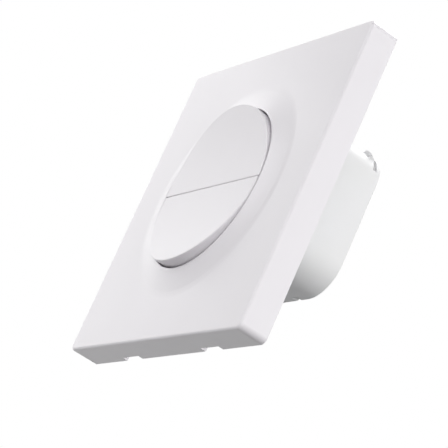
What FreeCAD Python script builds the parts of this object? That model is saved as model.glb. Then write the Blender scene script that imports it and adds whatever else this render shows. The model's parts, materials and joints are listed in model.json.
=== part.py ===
import FreeCAD, Part
import Sketcher
import math
import os

# Flush wall switch with two half-round keys in a square cover frame.
# Millimetres, +X right, +Z up, the user in front at -Y.
# The wall plane is y = 0 and the origin is the middle of the wall box's screw pattern.

Vector = FreeCAD.Vector
doc = FreeCAD.newDocument("wall_switch")

# Driving dimensions
SIZES = (
    # Cover frame
    ("plate_width", 86.0, "side of the square cover frame"),
    ("plate_depth", 8.0, "wall plane to the flat front"),
    ("plate_side_wall", 2.2, "side wall thickness"),
    ("plate_front_wall", 2.2, "front wall thickness"),
    ("plate_corner", 1.7, "corner radius seen from the front"),
    ("plate_edge", 0.7, "rounding of the front edge"),
    ("hole_radius", 23.4, "round hole for the keys"),
    ("rim_rise", 1.75, "cone rim in front of the flat front"),
    ("rim_flat", 0.7, "flat width of the rim"),
    ("rim_edge", 0.22, "rounding of the rim's two edges"),
    ("cone_radius", 30.3, "foot of the cone"),
    ("cone_hollow", 40.0, "radius of the cone's slightly hollow flank"),
    ("foot_blend", 8.0, "rounding between the cone's foot and the flat front"),
    ("collar_wall", 1.5, "wall of the collar behind the hole"),
    ("collar_back", 5.0, "wall plane to the collar's back end"),
    ("pry_width", 8.2, "width of a pry notch"),
    ("pry_spacing", 40.0, "middle to middle of the two pry notches"),
    ("pry_height", 1.5, "height of a pry notch"),
    ("claw_width", 6.0, "width of a frame claw"),
    ("claw_thickness", 1.6, "thickness of a frame claw"),
    ("claw_margin", 7.5, "middle of a claw to the yoke's edge"),
    # Keys
    ("key_gap", 0.4, "ring gap between keys and hole"),
    ("split_gap", 0.22, "gap between the two keys"),
    ("dish_radius", 94.0, "radius of the hollow key faces"),
    ("dish_front", 9.93, "wall plane to the key faces at the split"),
    ("key_shell", 1.3, "shell thickness of a key"),
    ("key_edge", 0.3, "rounding of a key's face edge"),
    ("skirt_back", 5.9, "wall plane to the back end of the key's skirt"),
    ("pivot_height", 3.2, "pivot axis above or below the middle"),
    ("pivot_front", 5.5, "wall plane to the pivot axes"),
    ("pivot_radius", 1.0, "pivot pin"),
    ("pivot_play", 0.05, "play of a pivot pin in its hole, on the radius"),
    ("pivot_wall", 1.0, "wall round a pivot hole"),
    ("tab_margin", 0.5, "pivot tab round its pin"),
    ("tab_wall", 0.9, "how far a pivot tab reaches into the key's round wall"),
    ("tab_front", 2.2, "pivot axis to the tab's front end"),
    ("lug_face", 19.9, "outer face of the carrier's pivot lug"),
    ("lug_thickness", 2.0, "thickness of a pivot lug"),
    ("lug_play", 0.3, "play between lug and key tab"),
    ("lug_room", 0.5, "room in front of a lug, inside the keys"),
    ("pusher_radius", 1.5, "pusher under a key, with a round end"),
    ("pusher_play", 0.1, "play between pusher and plunger"),
    # Key carrier
    ("carrier_radius", 25.6, "round key carrier"),
    ("carrier_front", 3.4, "wall plane to the carrier's front"),
    ("carrier_sheet", 1.4, "thickness of the carrier's floor"),
    ("carrier_wall", 1.4, "thickness of the carrier's outer wall"),
    ("rib_thickness", 1.2, "stiffening ribs on the carrier"),
    ("rib_place", 13.4, "ribs above and below the middle"),
    ("rib_length", 36.8, "length of a rib"),
    ("rib_rise", 1.2, "ribs in front of the carrier's floor"),
    ("hook_width", 5.0, "width of a carrier hook"),
    ("hook_thickness", 1.2, "thickness of a carrier hook"),
    ("hook_catch", 0.6, "how far a hook reaches under the yoke"),
    ("hook_end", 0.8, "wall plane to the hook's end, behind the wall plane"),
    ("hook_play", 0.1, "play of a hook in the yoke's opening"),
    # Mounting yoke
    ("yoke_margin", 5.3, "yoke's edge to the frame's side walls"),
    ("yoke_sheet", 1.2, "sheet thickness"),
    ("yoke_corner", 4.0, "corner radius of the yoke"),
    ("screw_spacing", 60.0, "wall box screws, middle to middle"),
    ("slot_length", 7.0, "length of a screw slot"),
    ("slot_radius", 1.8, "half width of a screw slot"),
    # Module housing
    ("box_half", 21.9, "half the width of the module housing"),
    ("box_low", 15.9, "centre down to the housing's underside"),
    ("box_high", 24.6, "centre up to the housing's top"),
    ("box_low_corner", 9.4, "lower corner radius"),
    ("box_high_corner", 7.6, "upper corner radius"),
    ("box_wall", 1.6, "housing wall"),
    ("box_back", 22.0, "wall plane to the back face"),
    ("cover_sheet", 1.8, "thickness of the rear cover"),
    ("cover_rim", 1.2, "wall of the rear cover's inner rim"),
    ("cover_rim_depth", 1.6, "depth of that rim"),
    ("cover_edge", 0.4, "rounding of the rear cover's edge"),
    ("groove_width", 2.6, "V notch in the rear cover's lower edge"),
    ("groove_height", 1.1, "its height"),
    ("groove_place", 8.2, "its middle, right of the centre"),
    ("post_inset", 4.5, "housing screws to the housing's sides"),
    ("post_inset_low", 4.7, "lower screws to the underside"),
    ("post_inset_high", 3.4, "upper screws to the top"),
    ("post_radius", 2.2, "screw post"),
    ("screw_radius", 1.0, "housing screw"),
    ("screw_head", 1.9, "head radius of a housing screw"),
    ("screw_length", 7.0, "length of a housing screw in its post"),
    ("drive_width", 0.5, "driver slot of a screw"),
    ("drive_depth", 0.4, "driver slot of a screw"),
    ("rest_inset", 5.5, "posts behind the power board to the housing's sides"),
    ("rest_inset_low", 5.5, "lower ones to the underside"),
    ("rest_inset_high", 4.6, "upper ones to the top"),
    ("rest_radius", 1.4, "radius of these posts"),
    ("opening_side", 5.5, "yoke's opening inside the housing's inner side walls"),
    ("opening_lap", 0.8, "yoke opening inside the housing's inner walls, top and bottom"),
    ("ledge_spread", 9.5, "board ledges from their middle height"),
    ("ledge_height", 2.0, "height of a board ledge"),
    ("ledge_lap", 0.9, "ledge under the control board's edge"),
    # Boards
    ("board_play", 0.3, "play round the control board"),
    ("board_front", 1.0, "wall plane to the control board's front"),
    ("board_sheet", 1.0, "control board thickness"),
    ("power_front", 8.0, "wall plane to the power board's front"),
    ("power_sheet", 1.6, "power board thickness"),
    ("power_play", 0.4, "play round the power board"),
    # Push switches
    ("button_height", 9.5, "push switches above and below the middle"),
    ("button_size", 6.0, "side of a push switch"),
    ("button_depth", 2.4, "depth of a push switch"),
    ("button_wall", 0.4, "front and floor of a push switch"),
    ("plunger_radius", 1.7, "plunger"),
    ("plunger_play", 0.05, "play of the plunger in its hole"),
    ("hole_play", 0.5, "play of the plunger in the key carrier's hole"),
    ("plunger_flange", 2.3, "flange radius of the plunger"),
    ("flange_sheet", 0.5, "flange thickness"),
    ("flange_play", 0.2, "play round the flange"),
    ("dome_rise", 0.7, "height of the snap dome"),
    ("dome_sheet", 0.1, "dome sheet"),
    # Terminals
    ("lip_front", 16.8, "wall plane to the front of the terminal section"),
    ("lip_low", 16.5, "lower edge of the terminal section"),
    ("terminal_side", 7.5, "row of terminals to the housing's sides"),
    ("wire_radius", 1.6, "wire entry"),
    ("wire_height", 19.2, "wire entries above the centre"),
    ("wire_depth", 10.0, "depth of a wire entry, down to the insulating sheet"),
    ("insulator_sheet", 1.0, "insulating sheet between terminals and power board"),
    ("wire_funnel", 0.5, "chamfer of a wire entry"),
    ("clamp_gap", 2.0, "clamp cage to clamp cage"),
    ("clamp_depth", 3.8, "clamp cage depth"),
    ("clamp_play", 0.1, "play round a clamp cage"),
    ("clamp_top", 22.6, "top of the clamp cages above the centre"),
    ("clamp_wall", 0.4, "front of the terminal section to the clamp cages"),
    ("clamp_strip", 0.8, "thickness of the strip to the power board"),
    ("strip_width", 2.4, "width of that strip"),
    ("strip_play", 0.2, "clamp strip below the terminal section"),
    ("terminal_screw", 1.5, "terminal screw"),
    ("terminal_head", 1.8, "head of a terminal screw"),
    ("head_height", 1.5, "height of that head"),
    ("head_rise", 0.4, "screw head above the clamp cage"),
    ("blade_width", 0.6, "driver slot of a terminal screw"),
    ("blade_depth", 0.7, "driver slot of a terminal screw"),
    ("access_play", 0.1, "play of the head in its access hole"),
    ("latch_width", 1.1, "slot round the terminal section's corner, front to back"),
    ("latch_depth", 1.9, "how deep that slot is"),
    ("latch_lead", 0.7, "start of that slot in front of the rear cover"),
    ("latch_start", 20.0, "angle where the slot starts"),
    ("latch_sweep", 38.0, "angle that the slot covers"),
    ("snap_place", 0.6, "snap lug behind the front of the terminal section"),
    ("snap_rise", 1.1, "height of a snap lug above the housing's corner"),
    ("snap_lead", 0.8, "length of its steep front slope"),
    ("snap_run", 2.6, "length of its long back slope"),
    ("snap_sink", 0.2, "how far its slopes end inside the corner"),
    ("snap_start", 46.0, "angle where a snap lug starts"),
    ("snap_sweep", 30.0, "angle that a snap lug covers"),
    # Parts on the boards
    ("relay_width", 10.0, "relay"),
    ("relay_height", 20.0, "relay"),
    ("relay_depth", 10.0, "relay"),
    ("relay_margin", 1.1, "relays to the power board's edge"),
    ("relay_gap", 2.3, "relay to transformer"),
    ("relay_rise", 0.3, "relays above the row of small parts"),
    ("coil_height", 12.5, "transformer"),
    ("coil_depth", 9.0, "transformer"),
    ("coil_middle", 5.0, "transformer above the centre"),
    ("core_share", 0.24, "middle limb of the core, a share of the core's width"),
    ("winding", 1.3, "winding in front of and behind that limb"),
    ("coil_play", 0.2, "play of the winding in the core's windows"),
    ("film_height", 4.6, "film capacitor"),
    ("film_depth", 8.6, "film capacitor"),
    ("film_middle", 5.0, "film capacitor below the centre"),
    ("row_low", 5.1, "row of small parts to the housing's underside"),
    ("bulk_radius", 3.0, "bulk capacitor"),
    ("bulk_depth", 8.6, "bulk capacitor"),
    ("varistor_radius", 3.2, "varistor disc"),
    ("varistor_sheet", 3.0, "varistor disc thickness"),
    ("varistor_rise", 1.0, "varistor disc behind the power board"),
    ("fuse_radius", 2.1, "fuse"),
    ("fuse_depth", 7.0, "fuse"),
    ("radio_width", 16.0, "radio board"),
    ("radio_height", 11.6, "radio board"),
    ("radio_sheet", 0.8, "radio board thickness"),
    ("shield_width", 13.6, "radio shield"),
    ("shield_height", 7.4, "radio shield"),
    ("shield_depth", 1.6, "radio shield"),
    ("shield_sheet", 0.2, "radio shield sheet"),
    ("shield_edge", 0.5, "shield to the radio board's lower edge"),
    ("antenna_width", 6.8, "antenna block"),
    ("antenna_height", 1.5, "antenna block"),
    ("antenna_gap", 0.7, "antenna block above the shield"),
    ("chip_size", 7.0, "controller chip"),
    ("chip_depth", 1.0, "controller chip"),
    ("chip_place", 8.5, "controller chip left of and above the centre"),
    ("header_width", 10.2, "pin header from board to board"),
    ("header_height", 5.0, "pin header"),
)

# Values worked out from the driving dimensions
WORKED = (
    ("rim_front", "size.plate_depth + size.rim_rise"),
    ("key_radius", "size.hole_radius - size.key_gap"),
    ("dish_edge", "size.dish_front + size.dish_radius"
        " - sqrt(size.dish_radius ^ 2 - fit.key_radius ^ 2)"),
    ("carrier_back", "size.carrier_front - size.carrier_sheet"),
    ("yoke_half", "size.plate_width / 2 - size.plate_side_wall - size.yoke_margin"),
    ("claw_place", "fit.yoke_half - size.claw_margin"),
    ("box_middle", "(size.box_high - size.box_low) / 2"),
    ("post_across", "size.box_half - size.post_inset"),
    ("post_low", "size.box_low - size.post_inset_low"),
    ("post_high", "size.box_high - size.post_inset_high"),
    ("rest_across", "size.box_half - size.rest_inset"),
    ("rest_low", "size.box_low - size.rest_inset_low"),
    ("rest_high", "size.box_high - size.rest_inset_high"),
    ("inner_half", "size.box_half - size.box_wall"),
    ("inner_low", "size.box_low - size.box_wall"),
    ("inner_high", "size.box_high - size.box_wall"),
    ("opening_half", "fit.inner_half - size.opening_side"),
    ("opening_low", "fit.inner_low - size.opening_lap"),
    ("opening_high", "fit.inner_high - size.opening_lap"),
    ("cover_front", "size.box_back - size.cover_sheet"),
    ("board_half", "fit.opening_half - size.board_play"),
    ("board_low", "fit.opening_low - size.board_play"),
    ("board_high", "fit.opening_high - size.board_play"),
    ("board_back", "size.board_front + size.board_sheet"),
    ("power_back", "size.power_front + size.power_sheet"),
    ("power_half", "fit.inner_half - size.power_play"),
    ("lug_front", "size.pivot_front + size.pivot_radius + size.pivot_play + size.pivot_wall"),
    ("plunger_front", "size.pivot_front - size.pusher_radius - size.pusher_play"),
    ("button_front", "size.button_depth - size.board_front"),
    ("terminal_pitch", "(size.box_half - size.terminal_side) / 2"),
    ("clamp_width", "fit.terminal_pitch - size.clamp_gap"),
    ("clamp_middle", "size.lip_front + size.clamp_wall + size.clamp_depth / 2"),
    ("head_low", "size.clamp_top + size.head_rise"),
    ("entry_floor", "size.box_back - size.wire_depth"),
    ("relay_place", "fit.power_half - size.relay_margin - size.relay_width / 2"),
    ("coil_width", "2 * (fit.relay_place - size.relay_width / 2 - size.relay_gap)"),
    ("small_row", "size.box_low - size.row_low"),
    ("relay_middle", "size.bulk_radius - fit.small_row + size.relay_rise + size.relay_height / 2"),
    ("row_half", "fit.rest_across - size.rest_radius"),
    ("row_gap", "(fit.row_half - size.bulk_radius - size.varistor_radius - size.fuse_radius) / 2"),
    ("bulk_place", "-fit.row_half + fit.row_gap + size.bulk_radius"),
    ("varistor_place", "fit.bulk_place + size.bulk_radius + fit.row_gap + size.varistor_radius"),
    ("fuse_place", "fit.row_half - fit.row_gap - size.fuse_radius"),
)

sheet = doc.addObject("Spreadsheet::Sheet", "size")
for row, (alias, value, meaning) in enumerate(SIZES, 1):
    sheet.set("A%d" % row, alias)
    sheet.set("B%d" % row, str(value))
    sheet.setAlias("B%d" % row, alias)
    sheet.set("C%d" % row, meaning)
doc.recompute()

worked = doc.addObject("Spreadsheet::Sheet", "fit")
for row, (alias, formula) in enumerate(WORKED, 1):
    worked.set("A%d" % row, alias)
    worked.setAlias("B%d" % row, alias)
    worked.set("B%d" % row, "=" + formula.replace("fit.", ""))
doc.recompute()

nodes = []


def value(expression):
    """The number that an expression has now."""
    result = sheet.evalExpression(expression)
    return float(getattr(result, "Value", result))


def bind(item, **expressions):
    for name, expression in expressions.items():
        item.setExpression(name.replace("__", "."), expression)


def keep(item, label):
    """Name a finished sub-part: its label is its file's name."""
    item.Label = label
    nodes.append(item)
    return item


# Sketch helpers

def new_body(name):
    return doc.addObject("PartDesign::Body", name + "_body")


def new_sketch(body, plane, name, offset):
    """A sketch on one of the body's own planes, moved along the plane's normal."""
    sketch = body.newObject("Sketcher::SketchObject", name)
    support = [f for f in body.Origin.OriginFeatures if f.Role == plane][0]
    sketch.AttachmentSupport = [(support, "")]
    sketch.MapMode = "FlatFace"
    sketch.setExpression("AttachmentOffset.Base.z", offset)
    return sketch


def hold(sketch, kind, geometry, point, expression):
    """Tie a point's distance from the origin to an expression."""
    index = sketch.addConstraint(
        Sketcher.Constraint(kind, -1, 1, geometry, point, value(expression)))
    sketch.setExpression("Constraints[%d]" % index, expression)


def draw_circle(sketch, across, up, radius):
    circle = sketch.addGeometry(
        Part.Circle(Vector(value(across), value(up), 0), Vector(0, 0, 1), value(radius)), False)
    hold(sketch, "DistanceX", circle, 3, across)
    hold(sketch, "DistanceY", circle, 3, up)
    index = sketch.addConstraint(Sketcher.Constraint("Radius", circle, value(radius)))
    sketch.setExpression("Constraints[%d]" % index, radius)


def arc_between(start, end, radius):
    """Anticlockwise arc from end to start, bulging to the left of the line from start to end."""
    middle = (start + end) * 0.5
    chord = end - start
    left = Vector(-chord.y, chord.x, 0).normalize()
    rise = math.sqrt(radius ** 2 - (chord.Length / 2) ** 2)
    return Part.Arc(end, middle + left * (radius - rise), start)


def draw_outline(sketch, corners):
    """Closed outline through corners, each (across, up) or (across, up, radius).

    A radius makes the edge that leaves that corner an arc which bulges to its left.
    """
    points = [Vector(value(c[0]), value(c[1]), 0) for c in corners]
    edges = []
    for i, corner in enumerate(corners):
        start, end = points[i], points[(i + 1) % len(points)]
        if len(corner) == 3:
            edge = sketch.addGeometry(arc_between(start, end, value(corner[2])), False)
            # Arcs run anticlockwise, so one that bulges left starts at its end point
            edges.append((edge, 2, 1))
        else:
            edge = sketch.addGeometry(Part.LineSegment(start, end), False)
            edges.append((edge, 1, 2))
    for i, (edge, _, last) in enumerate(edges):
        following, first, _ = edges[(i + 1) % len(edges)]
        sketch.addConstraint(Sketcher.Constraint("Coincident", edge, last, following, first))
    for (edge, first, _), corner in zip(edges, corners):
        hold(sketch, "DistanceX", edge, first, corner[0])
        hold(sketch, "DistanceY", edge, first, corner[1])
        if len(corner) == 3:
            index = sketch.addConstraint(Sketcher.Constraint("Radius", edge, value(corner[2])))
            sketch.setExpression("Constraints[%d]" % index, corner[2])


def draw_box(sketch, left, right, low, high):
    draw_outline(sketch, ((left, low), (right, low), (right, high), (left, high)))


def draw_slot(sketch, across, up, half_run, radius, upright=False):
    """Slot with round ends, whose centres lie half_run from the middle."""
    middle = Vector(value(across), value(up), 0)
    along = Vector(0, 1, 0) if upright else Vector(1, 0, 0)
    side = Vector(-along.y, along.x, 0) * value(radius)
    ends = []
    for sign in (1, -1):
        centre = middle + along * (sign * value(half_run))
        tip = centre + along * (sign * value(radius))
        arc = Part.Arc(centre - side * sign, tip, centre + side * sign)
        ends.append(sketch.addGeometry(arc, False))
        run = " %s %s" % ("+" if sign > 0 else "-", half_run)
        hold(sketch, "DistanceX", ends[-1], 3, across if upright else across + run)
        hold(sketch, "DistanceY", ends[-1], 3, up + run if upright else up)
        index = sketch.addConstraint(Sketcher.Constraint("Radius", ends[-1], value(radius)))
        sketch.setExpression("Constraints[%d]" % index, radius)
    near_end, far_end = (sketch.Geometry[end] for end in ends)
    for first, last, start, finish in ((ends[0], ends[1], near_end.EndPoint, far_end.StartPoint),
                                       (ends[1], ends[0], far_end.EndPoint, near_end.StartPoint)):
        line = sketch.addGeometry(Part.LineSegment(start, finish), False)
        sketch.addConstraint(Sketcher.Constraint("Tangent", first, 2, line, 1))
        sketch.addConstraint(Sketcher.Constraint("Tangent", line, 2, last, 1))


# Feature helpers

def check_state(feature):
    if "Invalid" in feature.State or "Error" in feature.State:
        raise RuntimeError("%s failed: %s" % (feature.Name, feature.State))


def check_change(body, kind, before):
    """A pad must add material and a pocket must take some away."""
    check_state(body.Tip)
    after = body.Shape.Volume
    grew = after > before + 1e-6
    if grew != (kind in ("Pad", "Revolution")) or abs(after - before) < 1e-6:
        raise RuntimeError("%s in %s changed the volume from %.4f to %.4f"
                           % (kind, body.Name, before, after))


def extrude(body, kind, name, plane, low, high, draw):
    """Pad or Pocket between two places on the axis across the plane."""
    # The XZ plane's normal points to the front, at -Y
    offset = "-(%s)" % high if plane == "XZ_Plane" else low
    sketch = new_sketch(body, plane, name + "_sketch", offset)
    draw(sketch)
    doc.recompute()
    before = body.Shape.Volume if body.Tip else 0.0
    feature = body.newObject("PartDesign::" + kind, name)
    feature.Profile = sketch
    feature.setExpression("Length", "(%s) - (%s)" % (high, low))
    feature.Reversed = kind == "Pocket"
    sketch.Visibility = False
    doc.recompute()
    check_change(body, kind, before)
    return feature


def revolve(body, kind, name, corners):
    """Revolution or Groove of an outline in (radius, y) about the Y axis."""
    sketch = new_sketch(body, "XY_Plane", name + "_sketch", "0 * size.plate_depth")
    draw_outline(sketch, corners)
    doc.recompute()
    before = body.Shape.Volume if body.Tip else 0.0
    feature = body.newObject("PartDesign::" + kind, name)
    feature.Profile = sketch
    feature.ReferenceAxis = (sketch, ["V_Axis"])
    feature.Angle = 360
    doc.recompute()
    check_change(body, kind, before)
    return feature


def edges_where(shape, test):
    return ["Edge%d" % (i + 1) for i, edge in enumerate(shape.Edges) if test(edge)]


def faces_where(shape, test):
    return ["Face%d" % (i + 1) for i, face in enumerate(shape.Faces) if test(face)]


def round_edges(body, name, radius, test):
    base = body.Tip
    names = edges_where(base.Shape, test)
    if not names:
        raise RuntimeError("no edges for " + name)
    feature = body.newObject("PartDesign::Fillet", name)
    feature.Base = (base, names)
    feature.setExpression("Radius", radius)
    doc.recompute()
    check_state(feature)
    return feature


def hollow_out(body, name, thickness, open_faces):
    """Shell the body inwards, leaving the faces that pass the test open."""
    base = body.Tip
    feature = body.newObject("PartDesign::Thickness", name)
    feature.Base = (base, faces_where(base.Shape, open_faces))
    feature.setExpression("Value", thickness)
    feature.Join = 1
    feature.Reversed = True
    doc.recompute()
    check_state(feature)
    return feature


def near(a, b, within=1e-4):
    return abs(a - b) < within


def along_y(edge):
    box = edge.BoundBox
    return box.YLength > 0.01 and box.XLength < 1e-4 and box.ZLength < 1e-4


def flat_at_y(item, place):
    return near(item.BoundBox.YMin, place) and near(item.BoundBox.YMax, place)


# Solid helpers for the plain parts

def make_box(name, x_low, x_high, y_low, y_high, z_low, z_high):
    item = doc.addObject("Part::Box", name)
    bind(item, Length="(%s) - (%s)" % (x_high, x_low), Width="(%s) - (%s)" % (y_high, y_low),
         Height="(%s) - (%s)" % (z_high, z_low), Placement__Base__x=x_low,
         Placement__Base__y=y_low, Placement__Base__z=z_low)
    return item


TURNS = {"X": FreeCAD.Rotation(Vector(0, 1, 0), 90),
         "Y": FreeCAD.Rotation(Vector(1, 0, 0), -90),
         "Z": FreeCAD.Rotation()}


def make_rod(name, axis, x, y, z, radius, length):
    """Cylinder that starts at a point and runs along +axis."""
    item = doc.addObject("Part::Cylinder", name)
    item.Placement = FreeCAD.Placement(Vector(), TURNS[axis])
    bind(item, Radius=radius, Height=length, Placement__Base__x=x, Placement__Base__y=y,
         Placement__Base__z=z)
    return item


def make_cone(name, axis, x, y, z, start_radius, end_radius, length):
    item = doc.addObject("Part::Cone", name)
    item.Placement = FreeCAD.Placement(Vector(), TURNS[axis])
    bind(item, Radius1=start_radius, Radius2=end_radius, Height=length, Placement__Base__x=x,
         Placement__Base__y=y, Placement__Base__z=z)
    return item


def join(name, items):
    if len(items) == 1:
        return items[0]
    item = doc.addObject("Part::MultiFuse", name)
    item.Shapes = items
    item.Refine = True
    return item


def cut(name, base, tools):
    item = doc.addObject("Part::Cut", name)
    item.Base = base
    item.Tool = join(name + "_tools", tools)
    return item


def group(name, items):
    item = doc.addObject("Part::Compound", name)
    item.Links = items
    return item


# Cover frame: hollow square plate with a cone and a collar round its hole

def cover_frame():
    body = new_body("cover_frame")
    half = "size.plate_width / 2"
    extrude(body, "Pad", "plate", "XZ_Plane", "-size.plate_depth", "0 * size.plate_depth",
            lambda s: draw_box(s, "-" + half, half, "-" + half, half))
    round_edges(body, "plate_corners", "size.plate_corner", along_y)
    front = -value("size.plate_depth")
    round_edges(body, "plate_front_edge", "size.plate_edge", lambda e: flat_at_y(e, front))
    inner = half + " - size.plate_side_wall"
    extrude(body, "Pocket", "plate_hollow", "XZ_Plane",
            "size.plate_front_wall - size.plate_depth", "0 * size.plate_depth",
            lambda s: draw_box(s, "-(%s)" % inner, inner, "-(%s)" % inner, inner))
    extrude(body, "Pocket", "key_hole", "XZ_Plane", "-size.plate_depth - 1", "0 * size.plate_depth",
            lambda s: draw_circle(s, "0 * size.hole_radius", "0 * size.hole_radius",
                                  "size.hole_radius + size.collar_wall / 2"))
    collar = "size.hole_radius + size.collar_wall"
    revolve(body, "Revolution", "cone", (
        ("size.hole_radius", "-size.collar_back"),
        ("size.hole_radius", "-fit.rim_front"),
        ("size.hole_radius + size.rim_flat", "-fit.rim_front", "size.cone_hollow"),
        ("size.cone_radius", "-size.plate_depth"),
        ("size.cone_radius", "size.plate_front_wall - size.plate_depth"),
        (collar, "size.plate_front_wall - size.plate_depth"),
        (collar, "-size.collar_back")))
    foot = value("2 * size.cone_radius")
    round_edges(body, "cone_foot", "size.foot_blend",
                lambda e: flat_at_y(e, front) and near(e.BoundBox.XLength, foot, 1e-3))
    rim = -value("fit.rim_front")
    round_edges(body, "rim_edges", "size.rim_edge", lambda e: flat_at_y(e, rim))
    core_floor = "size.plate_front_wall - size.plate_depth"
    revolve(body, "Groove", "cone_core", (
        (collar, core_floor),
        (collar, "-fit.rim_front + 1.2 * size.collar_wall"),
        (collar + " + size.rim_flat", "-fit.rim_front + 1.2 * size.collar_wall"),
        ("size.cone_radius - size.plate_front_wall / 2", core_floor)))
    for sign, side in (("-", "left"), ("", "right")):
        middle = sign + "size.pry_spacing / 2"
        extrude(body, "Pocket", side + "_pry_notch", "XZ_Plane", "-size.pry_height",
                "0 * size.plate_depth",
                lambda s, m=middle: draw_box(
                    s, m + " - size.pry_width / 2", m + " + size.pry_width / 2",
                    "-size.plate_width / 2 - 1", "-size.plate_width / 2 + size.plate_side_wall + 1"))
    for across in ("-", ""):
        for up in ("-", ""):
            x, z = across + "fit.claw_place", up + "fit.claw_place"
            extrude(body, "Pad", "claw", "XZ_Plane",
                    "size.plate_front_wall - size.plate_depth", "-size.yoke_sheet / 4",
                    lambda s, x=x, z=z: draw_box(
                        s, x + " - size.claw_thickness / 2", x + " + size.claw_thickness / 2",
                        z + " - size.claw_width / 2", z + " + size.claw_width / 2"))
    keep(body, "cover_frame")


# Half-round key: a shell with a hollow face, two pivot tabs with pins and a round-ended pusher

def half_disc(sketch, sign, radius, start):
    """Half disc above (sign 1) or below (sign -1) the middle, its straight edge at start."""
    reach = "sqrt((%s) ^ 2 - (%s) ^ 2)" % (radius, start)
    low = "%d * (%s)" % (sign, start)
    if sign > 0:
        ends = ((reach, low), ("-" + reach, low))
    else:
        ends = (("-" + reach, low), (reach, low))
    first = Vector(value(ends[0][0]), value(ends[0][1]), 0)
    last = Vector(value(ends[1][0]), value(ends[1][1]), 0)
    arc = Part.Arc(first, Vector(0, sign * value(radius), 0), last)
    curve = sketch.addGeometry(arc, False)
    line = sketch.addGeometry(Part.LineSegment(last, first), False)
    sketch.addConstraint(Sketcher.Constraint("Coincident", curve, 2, line, 1))
    sketch.addConstraint(Sketcher.Constraint("Coincident", line, 2, curve, 1))
    for point, end in ((1, ends[1]), (2, ends[0])):
        hold(sketch, "DistanceX", line, point, end[0])
        hold(sketch, "DistanceY", line, point, end[1])
    index = sketch.addConstraint(Sketcher.Constraint("Radius", curve, value(radius)))
    sketch.setExpression("Constraints[%d]" % index, radius)


def dished_block(name, sign, radius, start, dish_radius):
    """Half disc with a hollow front: the outside of a key, or the room inside it."""
    body = new_body(name)
    block_front = "-fit.dish_edge - 2"
    extrude(body, "Pad", "key_block", "XZ_Plane", block_front, "-size.skirt_back",
            lambda s: half_disc(s, sign, radius, start))
    reach = "(%s + 1)" % radius
    dish_end = ("-size.dish_front - size.dish_radius + sqrt((%s) ^ 2 - %s ^ 2)"
                % (dish_radius, reach))
    extrude(body, "Pocket", "dished_face", "YZ_Plane", "-" + reach, reach,
            lambda s: draw_outline(s, (
                (dish_end, reach, dish_radius),
                (dish_end, "-" + reach),
                (block_front + " - 1", "-" + reach),
                (block_front + " - 1", reach))))
    return body


def half_round_key(label, sign):
    start = "(size.split_gap / 2)"
    outside = dished_block(label + "_outside", sign, "fit.key_radius", start, "size.dish_radius")
    face_level = -value("size.dish_front") + value("size.key_shell") / 2
    round_edges(outside, "face_edge", "size.key_edge",
                lambda e: e.BoundBox.YMax < face_level and on_outside(e, sign))
    inside = dished_block(label + "_inside", sign, "(fit.key_radius - size.key_shell)",
                          "(%s + size.key_shell)" % start, "(size.dish_radius + size.key_shell)")

    def upright(low, high):
        """Two heights above the middle, in rising order on this key's side of the split."""
        ends = ("%d * (%s)" % (sign, low), "%d * (%s)" % (sign, high))
        return ends if sign > 0 else ends[::-1]

    # Room for the pivot lugs behind the split
    room = "size.lug_face + size.lug_play"
    lug_room = make_box(label + "_lug_room", "-(%s)" % room, room,
                        "-fit.lug_front - size.lug_room", "-size.skirt_back + size.lug_room",
                        *upright("0 * size.split_gap", start + " + size.key_shell + size.lug_play"))
    shell = cut(label + "_shell", outside, [inside, lug_room])
    margin = "(size.pivot_radius + size.tab_margin)"
    tab_heights = upright("size.pivot_height - " + margin, "size.pivot_height + " + margin)
    axis = "%d * size.pivot_height" % sign
    pieces = [shell]
    for side in (-1, 1):
        ends = ("%d * (%s)" % (side, room), "%d * (fit.key_radius - size.tab_wall)" % side)
        left, right = ends if side > 0 else ends[::-1]
        pieces.append(make_box("pivot_tab", left, right, "-size.pivot_front - size.tab_front",
                               "-size.pivot_front + " + margin, *tab_heights))
        reach = "(size.lug_thickness + 2 * size.lug_play)"
        inner_end = "size.lug_face - size.lug_thickness"
        pin_start = inner_end if side > 0 else "-(%s) - %s" % (inner_end, reach)
        pieces.append(make_rod("pivot_pin", "X", pin_start, "-size.pivot_front", axis,
                               "size.pivot_radius", reach))
    height = "%d * size.button_height" % sign
    nought = "0 * size.pusher_radius"
    pieces.append(make_rod("pusher", "Y", nought, "-size.dish_front", height, "size.pusher_radius",
                           "size.dish_front - size.pivot_front"))
    end = doc.addObject("Part::Sphere", "pusher_end")
    bind(end, Radius="size.pusher_radius", Placement__Base__y="-size.pivot_front",
         Placement__Base__z=height)
    pieces.append(end)
    keep(join(label + "_union", pieces), label)


def on_outside(edge, sign):
    """True for the edges round a key's face, on its outline."""
    radius = value("fit.key_radius")
    start = value("size.split_gap") / 2
    points = edge.discretize(5)
    round_side = all(near(math.hypot(p.x, p.z), radius, 1e-3) for p in points)
    split_side = all(near(sign * p.z, start, 1e-3) for p in points)
    return round_side or split_side


# Key carrier: round insert with two pivot lugs, ribs and two hooks

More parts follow.
